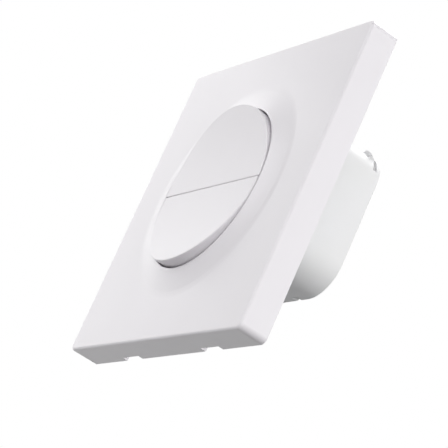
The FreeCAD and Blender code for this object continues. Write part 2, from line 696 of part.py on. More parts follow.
def key_carrier():
    body = new_body("key_carrier")
    nought = "0 * size.carrier_radius"
    extrude(body, "Pad", "carrier_disc", "XZ_Plane", "-size.carrier_front", "-size.yoke_sheet",
            lambda s: draw_circle(s, nought, nought, "size.carrier_radius"))
    extrude(body, "Pocket", "carrier_hollow", "XZ_Plane", "-fit.carrier_back", "-size.yoke_sheet",
            lambda s: draw_circle(s, nought, nought, "size.carrier_radius - size.carrier_wall"))
    lug_half = "(size.pivot_height + size.pivot_radius + size.pivot_play + size.pivot_wall)"
    for side in (-1, 1):
        inner = "%d * (size.lug_face - size.lug_thickness)" % side
        outer = "%d * size.lug_face" % side
        left, right = (inner, outer) if side > 0 else (outer, inner)
        extrude(body, "Pad", "pivot_lug", "XZ_Plane", "-fit.lug_front", "-size.carrier_front",
                lambda s, left=left, right=right: draw_box(s, left, right, "-" + lug_half, lug_half))
    for sign in (-1, 1):
        height = "%d * size.pivot_height" % sign
        extrude(body, "Pocket", "pivot_hole", "YZ_Plane", "-size.lug_face - 1", "size.lug_face + 1",
                lambda s, height=height: draw_circle(s, "-size.pivot_front", height,
                                                     "size.pivot_radius + size.pivot_play"))
        button = "%d * size.button_height" % sign
        extrude(body, "Pocket", "plunger_hole", "XZ_Plane", "-size.carrier_front - 1",
                "-size.yoke_sheet",
                lambda s, button=button: draw_circle(s, nought, button,
                                                     "size.plunger_radius + size.hole_play"))
        rib = "%d * size.rib_place" % sign
        reach = "size.rib_length / 2"
        extrude(body, "Pad", "stiffening_rib", "XZ_Plane", "-size.carrier_front - size.rib_rise",
                "-size.carrier_front",
                lambda s, rib=rib: draw_box(s, "-" + reach, reach, rib + " - size.rib_thickness / 2",
                                            rib + " + size.rib_thickness / 2"))
    hook_outer = "fit.opening_half - size.hook_play"
    for side in (-1, 1):
        spans = ("%d * (%s)" % (side, hook_outer), "%d * (%s - size.hook_thickness)" % (side, hook_outer))
        left, right = spans if side < 0 else (spans[1], spans[0])
        extrude(body, "Pad", "hook", "XZ_Plane", "-fit.carrier_back", "size.hook_end",
                lambda s, left=left, right=right: draw_box(
                    s, left, right, "-size.hook_width / 2", "size.hook_width / 2"))
        tip = "%d * (%s + size.hook_catch)" % (side, hook_outer)
        start = "%d * (%s)" % (side, hook_outer)
        low, high = (tip, start) if side < 0 else (start, tip)
        extrude(body, "Pad", "hook_catch", "XZ_Plane", "size.hook_play / 2", "size.hook_end",
                lambda s, low=low, high=high: draw_box(
                    s, low, high, "-size.hook_width / 2", "size.hook_width / 2"))
    keep(body, "key_carrier")


# Mounting yoke: square steel sheet with an opening, screw slots and claw windows

def mounting_yoke():
    body = new_body("mounting_yoke")
    half = "fit.yoke_half"
    back = "0 * size.yoke_sheet"
    extrude(body, "Pad", "yoke_plate", "XZ_Plane", "-size.yoke_sheet", back,
            lambda s: draw_box(s, "-" + half, half, "-" + half, half))
    round_edges(body, "yoke_corners", "size.yoke_corner", along_y)
    extrude(body, "Pocket", "yoke_opening", "XZ_Plane", "-size.yoke_sheet - 1", back,
            lambda s: draw_box(s, "-fit.opening_half", "fit.opening_half", "-fit.opening_low",
                               "fit.opening_high"))
    run = "(size.slot_length / 2 - size.slot_radius)"
    for sign in ("-", ""):
        place = sign + "size.screw_spacing / 2"
        extrude(body, "Pocket", "level_slot", "XZ_Plane", "-size.yoke_sheet - 1", back,
                lambda s, place=place: draw_slot(s, place, "0 * size.slot_radius", run,
                                                 "size.slot_radius"))
        extrude(body, "Pocket", "upright_slot", "XZ_Plane", "-size.yoke_sheet - 1", back,
                lambda s, place=place: draw_slot(s, "0 * size.slot_radius", place, run,
                                                 "size.slot_radius", upright=True))
        for other in ("-", ""):
            x, z = sign + "fit.claw_place", other + "fit.claw_place"
            extrude(body, "Pocket", "claw_window", "XZ_Plane", "-size.yoke_sheet - 1", back,
                    lambda s, x=x, z=z: draw_box(
                        s, x + " - size.claw_thickness / 2", x + " + size.claw_thickness / 2",
                        z + " - size.claw_width / 2", z + " + size.claw_width / 2"))
    sinks = []
    for x, z in screw_places():
        sinks.append(make_cone("countersink", "Y", x, "-size.yoke_sheet", z, "size.screw_head",
                               "size.screw_radius", "size.screw_head - size.screw_radius"))
        sinks.append(make_rod("screw_hole", "Y", x, "-size.yoke_sheet - 1", z, "size.screw_radius",
                              "size.yoke_sheet + 2"))
    keep(cut("yoke", body, sinks), "mounting_yoke")


def screw_places():
    return [(x + "fit.post_across", z) for z in ("-fit.post_low", "fit.post_high")
            for x in ("-", "")]


# Housing screws: countersunk, one in each corner post

def housing_screws():
    screws = []
    for x, z in screw_places():
        head_depth = "size.screw_head - size.screw_radius"
        head = make_cone("screw_head", "Y", x, "-size.yoke_sheet", z, "size.screw_head",
                         "size.screw_radius", head_depth)
        shank = make_rod("screw_shank", "Y", x, "-size.yoke_sheet", z, "size.screw_radius",
                         "size.yoke_sheet + size.screw_length")
        blade = make_box("screw_slot", x + " - size.screw_head", x + " + size.screw_head",
                         "-size.yoke_sheet - 1", "-size.yoke_sheet + size.drive_depth",
                         z + " - size.drive_width / 2", z + " + size.drive_width / 2")
        screws.append(cut("housing_screw", join("screw_blank", [head, shank]), [blade]))
    keep(group("housing_screw_group", screws), "housing_screws")


# Module housing: open rounded box with screw posts and board ledges

def box_outline(sketch, inset, top=None):
    """Outline of the module box, before its corners are rounded."""
    high = top or "size.box_high - (%s)" % inset
    draw_box(sketch, "-size.box_half + (%s)" % inset, "size.box_half - (%s)" % inset,
             "-size.box_low + (%s)" % inset, high)


def lower_corner(edge):
    return along_y(edge) and edge.BoundBox.ZMax < 0


def upper_corner(edge):
    return along_y(edge) and edge.BoundBox.ZMin > 0


def module_housing():
    body = new_body("module_housing")
    extrude(body, "Pad", "box_block", "XZ_Plane", "0 * size.box_back", "fit.cover_front",
            lambda s: box_outline(s, "0 * size.box_wall"))
    round_edges(body, "lower_corners", "size.box_low_corner", lower_corner)
    round_edges(body, "upper_corners", "size.box_high_corner", upper_corner)
    back = value("fit.cover_front")
    hollow_out(body, "box_shell", "size.box_wall",
               lambda f: flat_at_y(f, back) or flat_at_y(f, 0))
    extrude(body, "Pocket", "terminal_step", "XZ_Plane", "size.lip_front", "fit.cover_front + 1",
            lambda s: draw_box(s, "-size.box_half - 1", "size.box_half + 1", "size.lip_low",
                               "size.box_high + 1"))
    for x, z in screw_places():
        extrude(body, "Pad", "screw_post", "XZ_Plane", "0 * size.box_back", "size.power_front",
                lambda s, x=x, z=z: draw_circle(s, x, z, "size.post_radius"))
        extrude(body, "Pocket", "screw_pilot", "XZ_Plane", "-1", "size.screw_length",
                lambda s, x=x, z=z: draw_circle(s, x, z, "size.screw_radius"))
    reach = "fit.board_half - size.ledge_lap"
    for side in (-1, 1):
        spans = ("%d * (%s)" % (side, reach), "%d * (fit.inner_half + size.box_wall / 2)" % side)
        left, right = spans if side > 0 else (spans[1], spans[0])
        for sign in ("-", "+"):
            middle = "fit.box_middle %s size.ledge_spread" % sign
            extrude(body, "Pad", "board_ledge", "XZ_Plane", "fit.board_back",
                    "fit.board_back + size.ledge_height",
                    lambda s, left=left, right=right, middle=middle: draw_box(
                        s, left, right, middle + " - size.ledge_height / 2",
                        middle + " + size.ledge_height / 2"))
    keep(body, "module_housing")


# Rear cover: plate with an inner rim and two posts that hold the power board

def rear_cover():
    body = new_body("rear_cover")
    rim_front = "fit.cover_front - size.cover_rim_depth"
    extrude(body, "Pad", "rim_block", "XZ_Plane", rim_front, "fit.cover_front",
            lambda s: box_outline(s, "size.box_wall", "size.lip_low - 1"))
    round_edges(body, "rim_corners", "size.box_low_corner - size.box_wall", lower_corner)
    extrude(body, "Pad", "cover_plate", "XZ_Plane", "fit.cover_front", "size.box_back",
            lambda s: box_outline(s, "0 * size.box_wall", "size.lip_low"))
    back = value("size.box_back")
    round_edges(body, "cover_corners", "size.box_low_corner",
                lambda e: lower_corner(e) and near(e.BoundBox.YMax, back))
    high = value("size.lip_low")
    round_edges(body, "cover_edges", "size.cover_edge",
                lambda e: flat_at_y(e, back) and e.BoundBox.ZMin < high - 0.5)
    extrude(body, "Pocket", "rim_hollow", "XZ_Plane", rim_front + " - 1",
            "fit.cover_front", lambda s: box_outline(s, "size.box_wall + size.cover_rim",
                                                     "size.lip_low + 1"))
    for sign in ("-", ""):
        extrude(body, "Pad", "board_post", "XZ_Plane", "fit.power_back", "fit.cover_front",
                lambda s, sign=sign: draw_circle(s, sign + "fit.rest_across", "-fit.rest_low",
                                                 "size.rest_radius"))
    low = "-size.box_low"
    extrude(body, "Pocket", "lever_groove", "XZ_Plane", "fit.cover_front", "size.box_back",
            lambda s: draw_outline(s, (
                ("size.groove_place - size.groove_width / 2", low + " - 0.1"),
                ("size.groove_place + size.groove_width / 2", low + " - 0.1"),
                ("size.groove_place", low + " + size.groove_height"))))
    keep(body, "rear_cover")


# Terminal block: the top rear section, with wire entries, clamp cavities, screw holes and corner lugs

def terminal_places():
    return ["%g * fit.terminal_pitch" % step for step in (-1.5, -0.5, 0.5, 1.5)]


def corner_sector(item, side, start, sweep):
    """Limit a rod or cone along +Y at a top corner to the angles from start to start + sweep.

    The angles run from the side face up to the top face, on the right (side 1) and the left (side -1).
    """
    bind(item, Angle=sweep)
    first = start if side > 0 else "180 - %s - %s" % (start, sweep)
    # The rod's own angle starts on +X and turns towards +Z
    turn = FreeCAD.Rotation(Vector(0, 1, 0), -value("%s + %s" % (first, sweep)))
    item.Placement = FreeCAD.Placement(item.Placement.Base, turn.multiply(TURNS["Y"]))
    return item


def terminal_block():
    body = new_body("terminal_block")
    extrude(body, "Pad", "lip", "XZ_Plane", "size.lip_front", "size.box_back",
            lambda s: draw_box(s, "-size.box_half", "size.box_half", "size.lip_low", "size.box_high"))
    round_edges(body, "lip_corners", "size.box_high_corner",
                lambda e: along_y(e) and e.BoundBox.ZMin > value("size.box_high") - 0.1)
    back = value("size.box_back")
    low = value("size.lip_low")
    round_edges(body, "lip_back_edge", "size.cover_edge",
                lambda e: flat_at_y(e, back) and e.BoundBox.ZMax > low + 0.5)
    inner = "2 * fit.terminal_pitch"
    extrude(body, "Pad", "terminal_body", "XZ_Plane", "fit.entry_floor", "size.lip_front",
            lambda s: draw_box(s, "-%s" % inner, inner, "size.lip_low",
                               "fit.inner_high - size.clamp_play"))
    for sign in ("-", ""):
        extrude(body, "Pad", "board_post", "XZ_Plane", "fit.power_back", "size.lip_front",
                lambda s, sign=sign: draw_circle(s, sign + "fit.rest_across", "fit.rest_high",
                                                 "size.rest_radius"))
    for x in terminal_places():
        extrude(body, "Pocket", "clamp_room", "XZ_Plane",
                "fit.clamp_middle - size.clamp_depth / 2 - size.clamp_play",
                "fit.clamp_middle + size.clamp_depth / 2 + size.clamp_play",
                lambda s, x=x: draw_box(s, x + " - fit.clamp_width / 2 - size.clamp_play",
                                        x + " + fit.clamp_width / 2 + size.clamp_play",
                                        "size.lip_low - 1", "size.clamp_top + size.clamp_play"))
        extrude(body, "Pocket", "wire_entry", "XZ_Plane", "fit.entry_floor", "size.box_back",
                lambda s, x=x: draw_circle(s, x, "size.wire_height", "size.wire_radius"))
        extrude(body, "Pocket", "screw_access", "XY_Plane", "size.clamp_top",
                "size.box_high + 1",
                lambda s, x=x: draw_circle(s, x, "fit.clamp_middle",
                                           "size.terminal_head + size.access_play"))
    mouth = value("2 * size.wire_radius")
    base = body.Tip
    funnel = body.newObject("PartDesign::Chamfer", "wire_funnels")
    funnel.Base = (base, edges_where(base.Shape, lambda e: flat_at_y(e, back)
                                     and near(e.BoundBox.XLength, mouth, 1e-3)))
    funnel.setExpression("Size", "size.wire_funnel")
    doc.recompute()
    slots, lugs = [], []
    corner = "size.box_high_corner"
    height = "size.box_high - " + corner
    start = "fit.cover_front - size.latch_lead"
    lug_start = "size.lip_front + size.snap_place"
    for side in (-1, 1):
        middle = "%d * (size.box_half - %s)" % (side, corner)
        outer = make_rod("slot_outer", "Y", middle, start, height,
                         corner + " + size.snap_rise + 1", "size.latch_width")
        inner_rod = make_rod("slot_inner", "Y", middle, start, height,
                             corner + " - size.latch_depth", "size.latch_width")
        corner_sector(outer, side, "size.latch_start", "size.latch_sweep")
        slots.append(cut("corner_slot", outer, [inner_rod]))
        for name, place, first, last, length in (
                ("snap_front", lug_start, " - size.snap_sink", " + size.snap_rise", "size.snap_lead"),
                ("snap_back", lug_start + " + size.snap_lead", " + size.snap_rise",
                 " - size.snap_sink", "size.snap_run")):
            slope = make_cone(name, "Y", middle, place, height, corner + first, corner + last, length)
            lugs.append(corner_sector(slope, side, "size.snap_start", "size.snap_sweep"))
    keep(cut("terminals", join("lugged_block", [body] + lugs), slots), "terminal_block")


# Insulating sheet: the floor of the wire entries, with one leg at each end on the power board

def terminal_insulator():
    body = new_body("terminal_insulator")
    reach = "2 * fit.terminal_pitch"
    front = "fit.entry_floor - size.insulator_sheet"
    extrude(body, "Pad", "sheet", "XZ_Plane", front, "fit.entry_floor",
            lambda s: draw_box(s, "-%s" % reach, reach, "size.lip_low",
                               "fit.inner_high - size.clamp_play"))
    for sign in ("-", ""):
        ends = (sign + reach, sign + "(%s - size.insulator_sheet)" % reach)
        left, right = ends if sign else ends[::-1]
        extrude(body, "Pad", "leg", "XZ_Plane", "fit.power_back", front,
                lambda s, left=left, right=right: draw_box(
                    s, left, right, "size.lip_low", "fit.inner_high - size.clamp_play"))
    keep(body, "terminal_insulator")


# Clamps and their screws

def terminal_clamps():
    clamps = []
    for x in terminal_places():
        left, right = x + " - fit.clamp_width / 2", x + " + fit.clamp_width / 2"
        front, back = "fit.clamp_middle - size.clamp_depth / 2", "fit.clamp_middle + size.clamp_depth / 2"
        cage = make_box("cage", left, right, front, back, "size.lip_low + size.clamp_play",
                        "size.clamp_top")
        strip_left, strip_right = x + " - size.strip_width / 2", x + " + size.strip_width / 2"
        strip_high = "size.lip_low - size.strip_play"
        drop = make_box("strip_drop", strip_left, strip_right, front, front + " + size.clamp_strip",
                        strip_high + " - size.clamp_strip", "size.lip_low + size.clamp_play")
        strip = make_box("strip", strip_left, strip_right, "fit.power_back", front,
                         strip_high + " - size.clamp_strip", strip_high)
        wire = make_rod("wire_hole", "Y", x, front + " - 1", "size.wire_height", "size.wire_radius",
                        "size.clamp_depth + 2")
        thread = make_rod("thread", "Z", x, "fit.clamp_middle", "size.wire_height",
                          "size.terminal_screw", "size.clamp_top")
        clamps.append(cut("clamp", join("clamp_blank", [cage, drop, strip]), [wire, thread]))
    keep(group("clamp_group", clamps), "terminal_clamps")


def terminal_screws():
    screws = []
    for x in terminal_places():
        tip = "size.wire_height + size.wire_radius + size.blade_width / 3"
        shank = make_rod("thread_shank", "Z", x, "fit.clamp_middle", tip, "size.terminal_screw",
                         "fit.head_low - (%s)" % tip)
        head = make_rod("pan_head", "Z", x, "fit.clamp_middle", "fit.head_low", "size.terminal_head",
                        "size.head_height")
        top = "fit.head_low + size.head_height"
        blade = make_box("driver_slot", x + " - 2 * size.terminal_head",
                         x + " + 2 * size.terminal_head", "fit.clamp_middle - size.blade_width / 2",
                         "fit.clamp_middle + size.blade_width / 2", top + " - size.blade_depth",
                         top + " + 1")
        screws.append(cut("terminal_screw", join("screw_blank", [shank, head]), [blade]))
    keep(group("terminal_screw_group", screws), "terminal_screws")


# Boards

def control_board():
    body = new_body("control_board")
    extrude(body, "Pad", "board", "XZ_Plane", "size.board_front", "fit.board_back",
            lambda s: draw_box(s, "-fit.board_half", "fit.board_half", "-fit.board_low",
                               "fit.board_high"))
    round_edges(body, "board_corners", "1.5 * size.board_sheet", along_y)
    keep(body, "control_board")


def power_board():
    body = new_body("power_board")
    extrude(body, "Pad", "board", "XZ_Plane", "size.power_front", "fit.power_back",
            lambda s: box_outline(s, "size.box_wall + size.power_play"))
    play = " - size.box_wall - size.power_play"
    round_edges(body, "lower_corners", "size.box_low_corner" + play, lower_corner)
    round_edges(body, "upper_corners", "size.box_high_corner" + play, upper_corner)
    keep(body, "power_board")


# Push switches: body, plunger and snap dome

def push_switch(prefix, sign):
    height = "%d * size.button_height" % sign
    nought = "0 * size.button_size"
    body = new_body(prefix + "_switch_body")
    half = "size.button_size / 2"
    extrude(body, "Pad", "case", "XZ_Plane", "-fit.button_front", "size.board_front",
            lambda s: draw_box(s, "-" + half, half, height + " - " + half, height + " + " + half))
    round_edges(body, "case_corners", "size.button_wall", along_y)
    extrude(body, "Pocket", "case_hollow", "XZ_Plane", "-fit.button_front + size.button_wall",
            "size.board_front - size.button_wall",
            lambda s: draw_circle(s, nought, height, "size.plunger_flange + size.flange_play"))
    extrude(body, "Pocket", "plunger_guide", "XZ_Plane", "-fit.button_front - 1",
            "-fit.button_front + size.button_wall",
            lambda s: draw_circle(s, nought, height, "size.plunger_radius + size.plunger_play"))
    keep(body, prefix + "_switch_body")

    seat = "-fit.button_front + size.button_wall + size.plunger_play"
    stem = make_rod("stem", "Y", nought, "-fit.plunger_front", height, "size.plunger_radius",
                    "fit.plunger_front + (%s)" % seat)
    flange = make_rod("flange", "Y", nought, seat, height, "size.plunger_flange",
                      "size.flange_sheet")
    keep(join("plunger", [stem, flange]), prefix + "_plunger")

    floor = "size.board_front - size.button_wall"
    outer = make_cone("dome_outer", "Y", nought, floor + " - size.dome_rise", height,
                      "size.plunger_flange / 2", "size.plunger_flange", "size.dome_rise")
    inner = make_cone("dome_inner", "Y", nought, floor + " - size.dome_rise + size.dome_sheet",
                      height, "size.plunger_flange / 2 - size.dome_sheet",
                      "size.plunger_flange - size.dome_sheet", "size.dome_rise")
    keep(cut("dome", outer, [inner]), prefix + "_contact_dome")


# Parts on the power board

def power_parts():
    board = "fit.power_back"
    for sign, side in ((-1, "left"), (1, "right")):
        body = new_body(side + "_relay")
        middle = "%d * fit.relay_place" % sign
        extrude(body, "Pad", "relay_case", "XZ_Plane", board, board + " + size.relay_depth",
                lambda s, middle=middle: draw_box(
                    s, middle + " - size.relay_width / 2", middle + " + size.relay_width / 2",
                    "fit.relay_middle - size.relay_height / 2",
                    "fit.relay_middle + size.relay_height / 2"))
        back = value(board + " + size.relay_depth")
        round_edges(body, "relay_edges", "size.relay_width / 12",
                    lambda e, back=back: along_y(e) or flat_at_y(e, back))
        keep(body, side + "_relay")

    half_width, half_height = "fit.coil_width / 2", "size.coil_height / 2"
    nought = "0 * fit.coil_width"
    low, high = "size.coil_middle - " + half_height, "size.coil_middle + " + half_height
    limb = "(size.core_share * fit.coil_width)"
    core_front = board + " + size.winding"
    core_back = board + " + size.coil_depth - size.winding"
    block = make_box("core_block", "-" + half_width, half_width, core_front, core_back, low, high)
    windows = [
        make_box("core_window", start, end, board, board + " + size.coil_depth",
                 low + " + %s / 2" % limb, high + " - %s / 2" % limb)
        for start, end in (("-%s + %s / 2" % (half_width, limb), "-%s / 2" % limb),
                           ("%s / 2" % limb, "%s - %s / 2" % (half_width, limb)))]
    keep(cut("core", block, windows), "transformer_core")
    coil = make_box("coil_block", "-(%s) + %s / 2 + size.coil_play" % (half_width, limb),
                    "%s - %s / 2 - size.coil_play" % (half_width, limb), board,
                    board + " + size.coil_depth", low + " + %s / 2 + size.coil_play" % limb,
                    high + " - %s / 2 - size.coil_play" % limb)
    eye = make_box("coil_eye", "-%s / 2" % limb, "%s / 2" % limb, core_front, core_back, low, high)
    keep(cut("coil", coil, [eye]), "transformer_coil")

    body = new_body("film_capacitor")
    extrude(body, "Pad", "film_case", "XZ_Plane", board, board + " + size.film_depth",
            lambda s: draw_box(s, "-fit.coil_width / 2", "fit.coil_width / 2",
                               "-size.film_middle - size.film_height / 2",
                               "-size.film_middle + size.film_height / 2"))
    round_edges(body, "film_corners", "size.film_height / 8", along_y)
    keep(body, "film_capacitor")

    body = new_body("bulk_capacitor")
    extrude(body, "Pad", "can", "XZ_Plane", board, board + " + size.bulk_depth",
            lambda s: draw_circle(s, "fit.bulk_place", "-fit.small_row", "size.bulk_radius"))
    can_back = value(board + " + size.bulk_depth")
    round_edges(body, "can_edge", "size.bulk_radius / 8", lambda e: flat_at_y(e, can_back))
    keep(body, "bulk_capacitor")

    disc = make_rod("varistor_disc", "Z", "fit.varistor_place",
                    board + " + size.varistor_radius + size.varistor_rise",
                    "-fit.small_row - size.varistor_sheet / 2", "size.varistor_radius",
                    "size.varistor_sheet")
    legs = [make_rod("varistor_leg", "Y", "fit.varistor_place %s size.varistor_radius / 2" % sign,
                     board, "-fit.small_row", "size.varistor_radius / 10", "size.varistor_radius")
            for sign in ("-", "+")]
    keep(join("varistor", [disc] + legs), "surge_varistor")

    fuse = make_rod("fuse_can", "Y", "fit.fuse_place", board, "-fit.small_row", "size.fuse_radius",
                    "size.fuse_depth")
    keep(fuse, "line_fuse")


# Parts on the control board

def control_parts():
    half_width, half_height = "size.radio_width / 2", "size.radio_height / 2"
    front = "size.board_front - size.radio_sheet"
    keep(make_box("radio_board", "-" + half_width, half_width, front, "size.board_front",
                  "-" + half_height, half_height), "radio_module")
    across = "size.shield_width / 2"
    low = "-%s + size.shield_edge" % half_height
    high = low + " + size.shield_height"
    can = make_box("shield_can", "-" + across, across, front + " - size.shield_depth", front, low, high)
    room = make_box("shield_room", "-(%s) + size.shield_sheet" % across, across + " - size.shield_sheet",
                    front + " - size.shield_depth + size.shield_sheet", front + " + 1",
                    low + " + size.shield_sheet", high + " - size.shield_sheet")
    keep(cut("shield", can, [room]), "radio_shield")
    antenna_low = high + " + size.antenna_gap"
    keep(make_box("antenna_chip", "-size.antenna_width / 2", "size.antenna_width / 2",
                  front + " - size.radio_sheet", front, antenna_low,
                  antenna_low + " + size.antenna_height"), "radio_antenna")
    keep(make_box("chip", "-size.chip_place - size.chip_size / 2",
                  "-size.chip_place + size.chip_size / 2", "fit.board_back",
                  "fit.board_back + size.chip_depth", "size.chip_place - size.chip_size / 2",
                  "size.chip_place + size.chip_size / 2"), "controller_chip")
    keep(make_box("header", "-size.header_width / 2", "size.header_width / 2", "fit.board_back",
                  "size.power_front", "-size.header_height / 2", "size.header_height / 2"),
         "board_connector")


cover_frame()
half_round_key("upper_key", 1)
half_round_key("lower_key", -1)
key_carrier()
mounting_yoke()
housing_screws()
module_housing()
rear_cover()
terminal_block()
terminal_insulator()
terminal_clamps()
terminal_screws()
control_board()
power_board()
push_switch("upper", 1)
push_switch("lower", -1)
power_parts()
control_parts()
doc.recompute()

# Check every object, then write one file for each sub-part
for item in doc.Objects:
    check_state(item)
for node in nodes:
    if node.Shape.isNull() or not node.Shape.isValid():
        raise RuntimeError("bad shape: " + node.Label)

os.makedirs("parts", exist_ok=True)
for node in nodes:
    node.Shape.exportStep("parts/%s.step" % node.Label)
    print("%-20s %2d solids %9.2f mm3" % (node.Label, len(node.Shape.Solids), node.Shape.Volume))
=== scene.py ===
import bpy
import json
import math
from mathutils import Matrix, Vector


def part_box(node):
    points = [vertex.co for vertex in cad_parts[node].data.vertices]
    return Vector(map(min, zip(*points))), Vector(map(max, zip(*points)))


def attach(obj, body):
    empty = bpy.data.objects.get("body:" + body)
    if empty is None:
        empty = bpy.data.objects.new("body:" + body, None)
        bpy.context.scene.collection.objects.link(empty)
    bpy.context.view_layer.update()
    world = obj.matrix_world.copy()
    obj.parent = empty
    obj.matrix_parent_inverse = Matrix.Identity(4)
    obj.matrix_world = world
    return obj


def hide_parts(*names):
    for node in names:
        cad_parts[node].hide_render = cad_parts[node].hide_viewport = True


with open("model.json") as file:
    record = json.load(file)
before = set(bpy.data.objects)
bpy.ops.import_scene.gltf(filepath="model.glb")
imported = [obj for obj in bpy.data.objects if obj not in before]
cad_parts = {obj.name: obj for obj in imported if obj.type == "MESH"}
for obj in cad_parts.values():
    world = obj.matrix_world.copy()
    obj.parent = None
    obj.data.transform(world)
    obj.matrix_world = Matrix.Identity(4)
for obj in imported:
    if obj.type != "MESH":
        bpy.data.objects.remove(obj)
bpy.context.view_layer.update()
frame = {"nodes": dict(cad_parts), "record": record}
scene = bpy.context.scene
nodes = frame["nodes"]


# Camera: below, to the right and in front, looking up at the keys

CAMERA_PLACE = (0.4711, -0.2203, -0.1943)
CAMERA_FORWARD = (-0.85329, 0.39503, 0.34037)
CAMERA_UP = (0.10854, -0.5039, 0.85692)
SENSOR_WIDTH = 36.0
FOCAL_LENGTH = 175.5
NEAREST_SEEN = 0.01


def place_camera():
    data = bpy.data.cameras.new("camera")
    data.sensor_width = SENSOR_WIDTH
    data.lens = FOCAL_LENGTH
    data.clip_start = NEAREST_SEEN
    camera = bpy.data.objects.new("camera", data)
    scene.collection.objects.link(camera)
    back = -Vector(CAMERA_FORWARD).normalized()
    right = Vector(CAMERA_UP).cross(back).normalized()
    up = back.cross(right)
    turn = Matrix((right, up, back)).transposed()
    camera.matrix_world = Matrix.Translation(CAMERA_PLACE) @ turn.to_4x4()
    scene.camera = camera


# Colours and material nodes, with pattern sizes in metres

MM = 0.001
# Patches of roughness are 20 times as wide as the grain they lie on
PATCH_SHARE = 0.05
# How far roughness strays from its mean on an evenly made surface
EVEN_SPREAD = 0.04
# Rolling draws a surface's grain out along X to 33 times its width
ROLLING_STRETCH = 0.03
# A board's tracks run as rings in square fields; POURED_SHARE of the fields are plain copper without tracks
TRACK_FIELD = 5 * MM
TRACK_PITCH = 0.7 * MM
TRACK_EDGE_START = 0.20
TRACK_EDGE_END = 0.26
COPPER_THICKNESS = 0.035 * MM
POURED_SHARE = 0.45
# The winding's turns under their tape, and the period of Blender's wave texture at scale 1
WIRE_PITCH = 0.35 * MM
TURN_HEIGHT = 0.02 * MM
TURN_WOBBLE = 0.6
WAVE_PERIOD = math.tau / 20
# The sleeve's stripe starts and ends this far in from the can's right side
STRIPE_START = 0.9 * MM
STRIPE_END = 0.8 * MM


def colour(code):
    """Linear colour of an sRGB hex value."""
    parts = [int(code[i:i + 2], 16) / 255 for i in (0, 2, 4)]
    linear = [p / 12.92 if p <= 0.04045 else ((p + 0.055) / 1.055) ** 2.4 for p in parts]
    return (*linear, 1.0)


def add(tree, kind, settings=None, links=None):
    """A new node; settings are for its sockets and properties, and links join other nodes to its sockets."""
    node = tree.nodes.new("ShaderNode" + kind)
    for name, value in (settings or {}).items():
        if isinstance(name, int) or name in node.inputs:
            node.inputs[name].default_value = value
        else:
            setattr(node, name, value)
    for name, source in (links or {}).items():
        tree.links.new(source, node.inputs[name])
    return node


def new_material(name, code, rough, metallic=0.0, ior=1.5):
    """A named material with its shader; the shader and its tree are returned."""
    material = bpy.data.materials.new(name)
    material.use_nodes = True
    tree = material.node_tree
    tree.nodes.clear()
    settings = {"Base Color": colour(code), "Roughness": rough, "Metallic": metallic}
    if metallic < 0.5:
        settings["IOR"] = ior
    shader = add(tree, "BsdfPrincipled", settings)
    add(tree, "OutputMaterial", links={"Surface": shader.outputs["BSDF"]})
    return material, tree, shader


def object_place(tree, stretch=(1.0, 1.0, 1.0), turn=(0.0, 0.0, 0.0)):
    """Object coordinates, turned and then stretched along an axis where the surface was drawn or rolled."""
    place = add(tree, "TexCoord").outputs["Object"]
    mapping = add(tree, "Mapping", {"Scale": stretch, "Rotation": turn}, {"Vector": place})
    return mapping.outputs["Vector"]


def raise_surface(tree, shader, source, height):
    """Bumps as high as height where source is 1."""
    bump = add(tree, "Bump", {"Strength": 1.0, "Distance": height}, {"Height": source})
    tree.links.new(bump.outputs["Normal"], shader.inputs["Normal"])


def grain(tree, shader, place, spacing, height, rough, spread):
    """Bumps of a real spacing and height, with roughness that varies by spread around rough."""
    fine = add(tree, "TexNoise", {"Scale": 1.0 / spacing, "Detail": 2.0}, {"Vector": place})
    raise_surface(tree, shader, fine.outputs["Fac"], height)
    broad = add(tree, "TexNoise", {"Scale": PATCH_SHARE / spacing, "Detail": 3.0}, {"Vector": place})
    band = add(tree, "MapRange", {"To Min": rough - spread, "To Max": rough + spread},
               {"Value": broad.outputs["Fac"]})
    tree.links.new(band.outputs["Result"], shader.inputs["Roughness"])


def two_tones(tree, shader, source, code, other, low=0.35, high=0.65):
    """Base colour between two shades of one material, where source goes from low to high."""
    ramp = add(tree, "ValToRGB", links={"Fac": source})
    ramp.color_ramp.elements[0].position = low
    ramp.color_ramp.elements[0].color = colour(code)
    ramp.color_ramp.elements[1].position = high
    ramp.color_ramp.elements[1].color = colour(other)
    tree.links.new(ramp.outputs["Color"], shader.inputs["Base Color"])


def clouds(tree, place, size):
    return add(tree, "TexNoise", {"Scale": 1.0 / size, "Detail": 3.0}, {"Vector": place}).outputs["Fac"]


def crystals(tree, place, size):
    return add(tree, "TexVoronoi", {"Scale": 1.0 / size}, {"Vector": place}).outputs["Color"]


def moulded(name, code, other, rough, spacing, height, ior=1.5, tone_size=20 * MM):
    """A plastic that was moulded in a tool with the given grain."""
    material, tree, shader = new_material(name, code, rough, ior=ior)
    place = object_place(tree)
    grain(tree, shader, place, spacing, height, rough, EVEN_SPREAD)
    two_tones(tree, shader, clouds(tree, place, tone_size), code, other)
    return material


def rolled(name, code, other, rough, spacing, height, tone_size):
    """Sheet metal with fine lines along X, the way it was rolled, and faint tones of its plating."""
    material, tree, shader = new_material(name, code, rough, metallic=1.0)
    lines = object_place(tree, stretch=(ROLLING_STRETCH, 1.0, 1.0))
    grain(tree, shader, lines, spacing, height, rough, EVEN_SPREAD)
    two_tones(tree, shader, clouds(tree, object_place(tree), tone_size), code, other, low=0.3, high=0.7)
    return material


def tumbled(name, code, other, rough):
    """Small plated metal parts from a barrel: tiny soft dents, brighter where they rubbed."""
    material, tree, shader = new_material(name, code, rough, metallic=1.0)
    place = object_place(tree)
    grain(tree, shader, place, spacing=0.35 * MM, height=0.003 * MM, rough=rough, spread=0.06)
    two_tones(tree, shader, clouds(tree, place, 1.5 * MM), code, other)
    return material


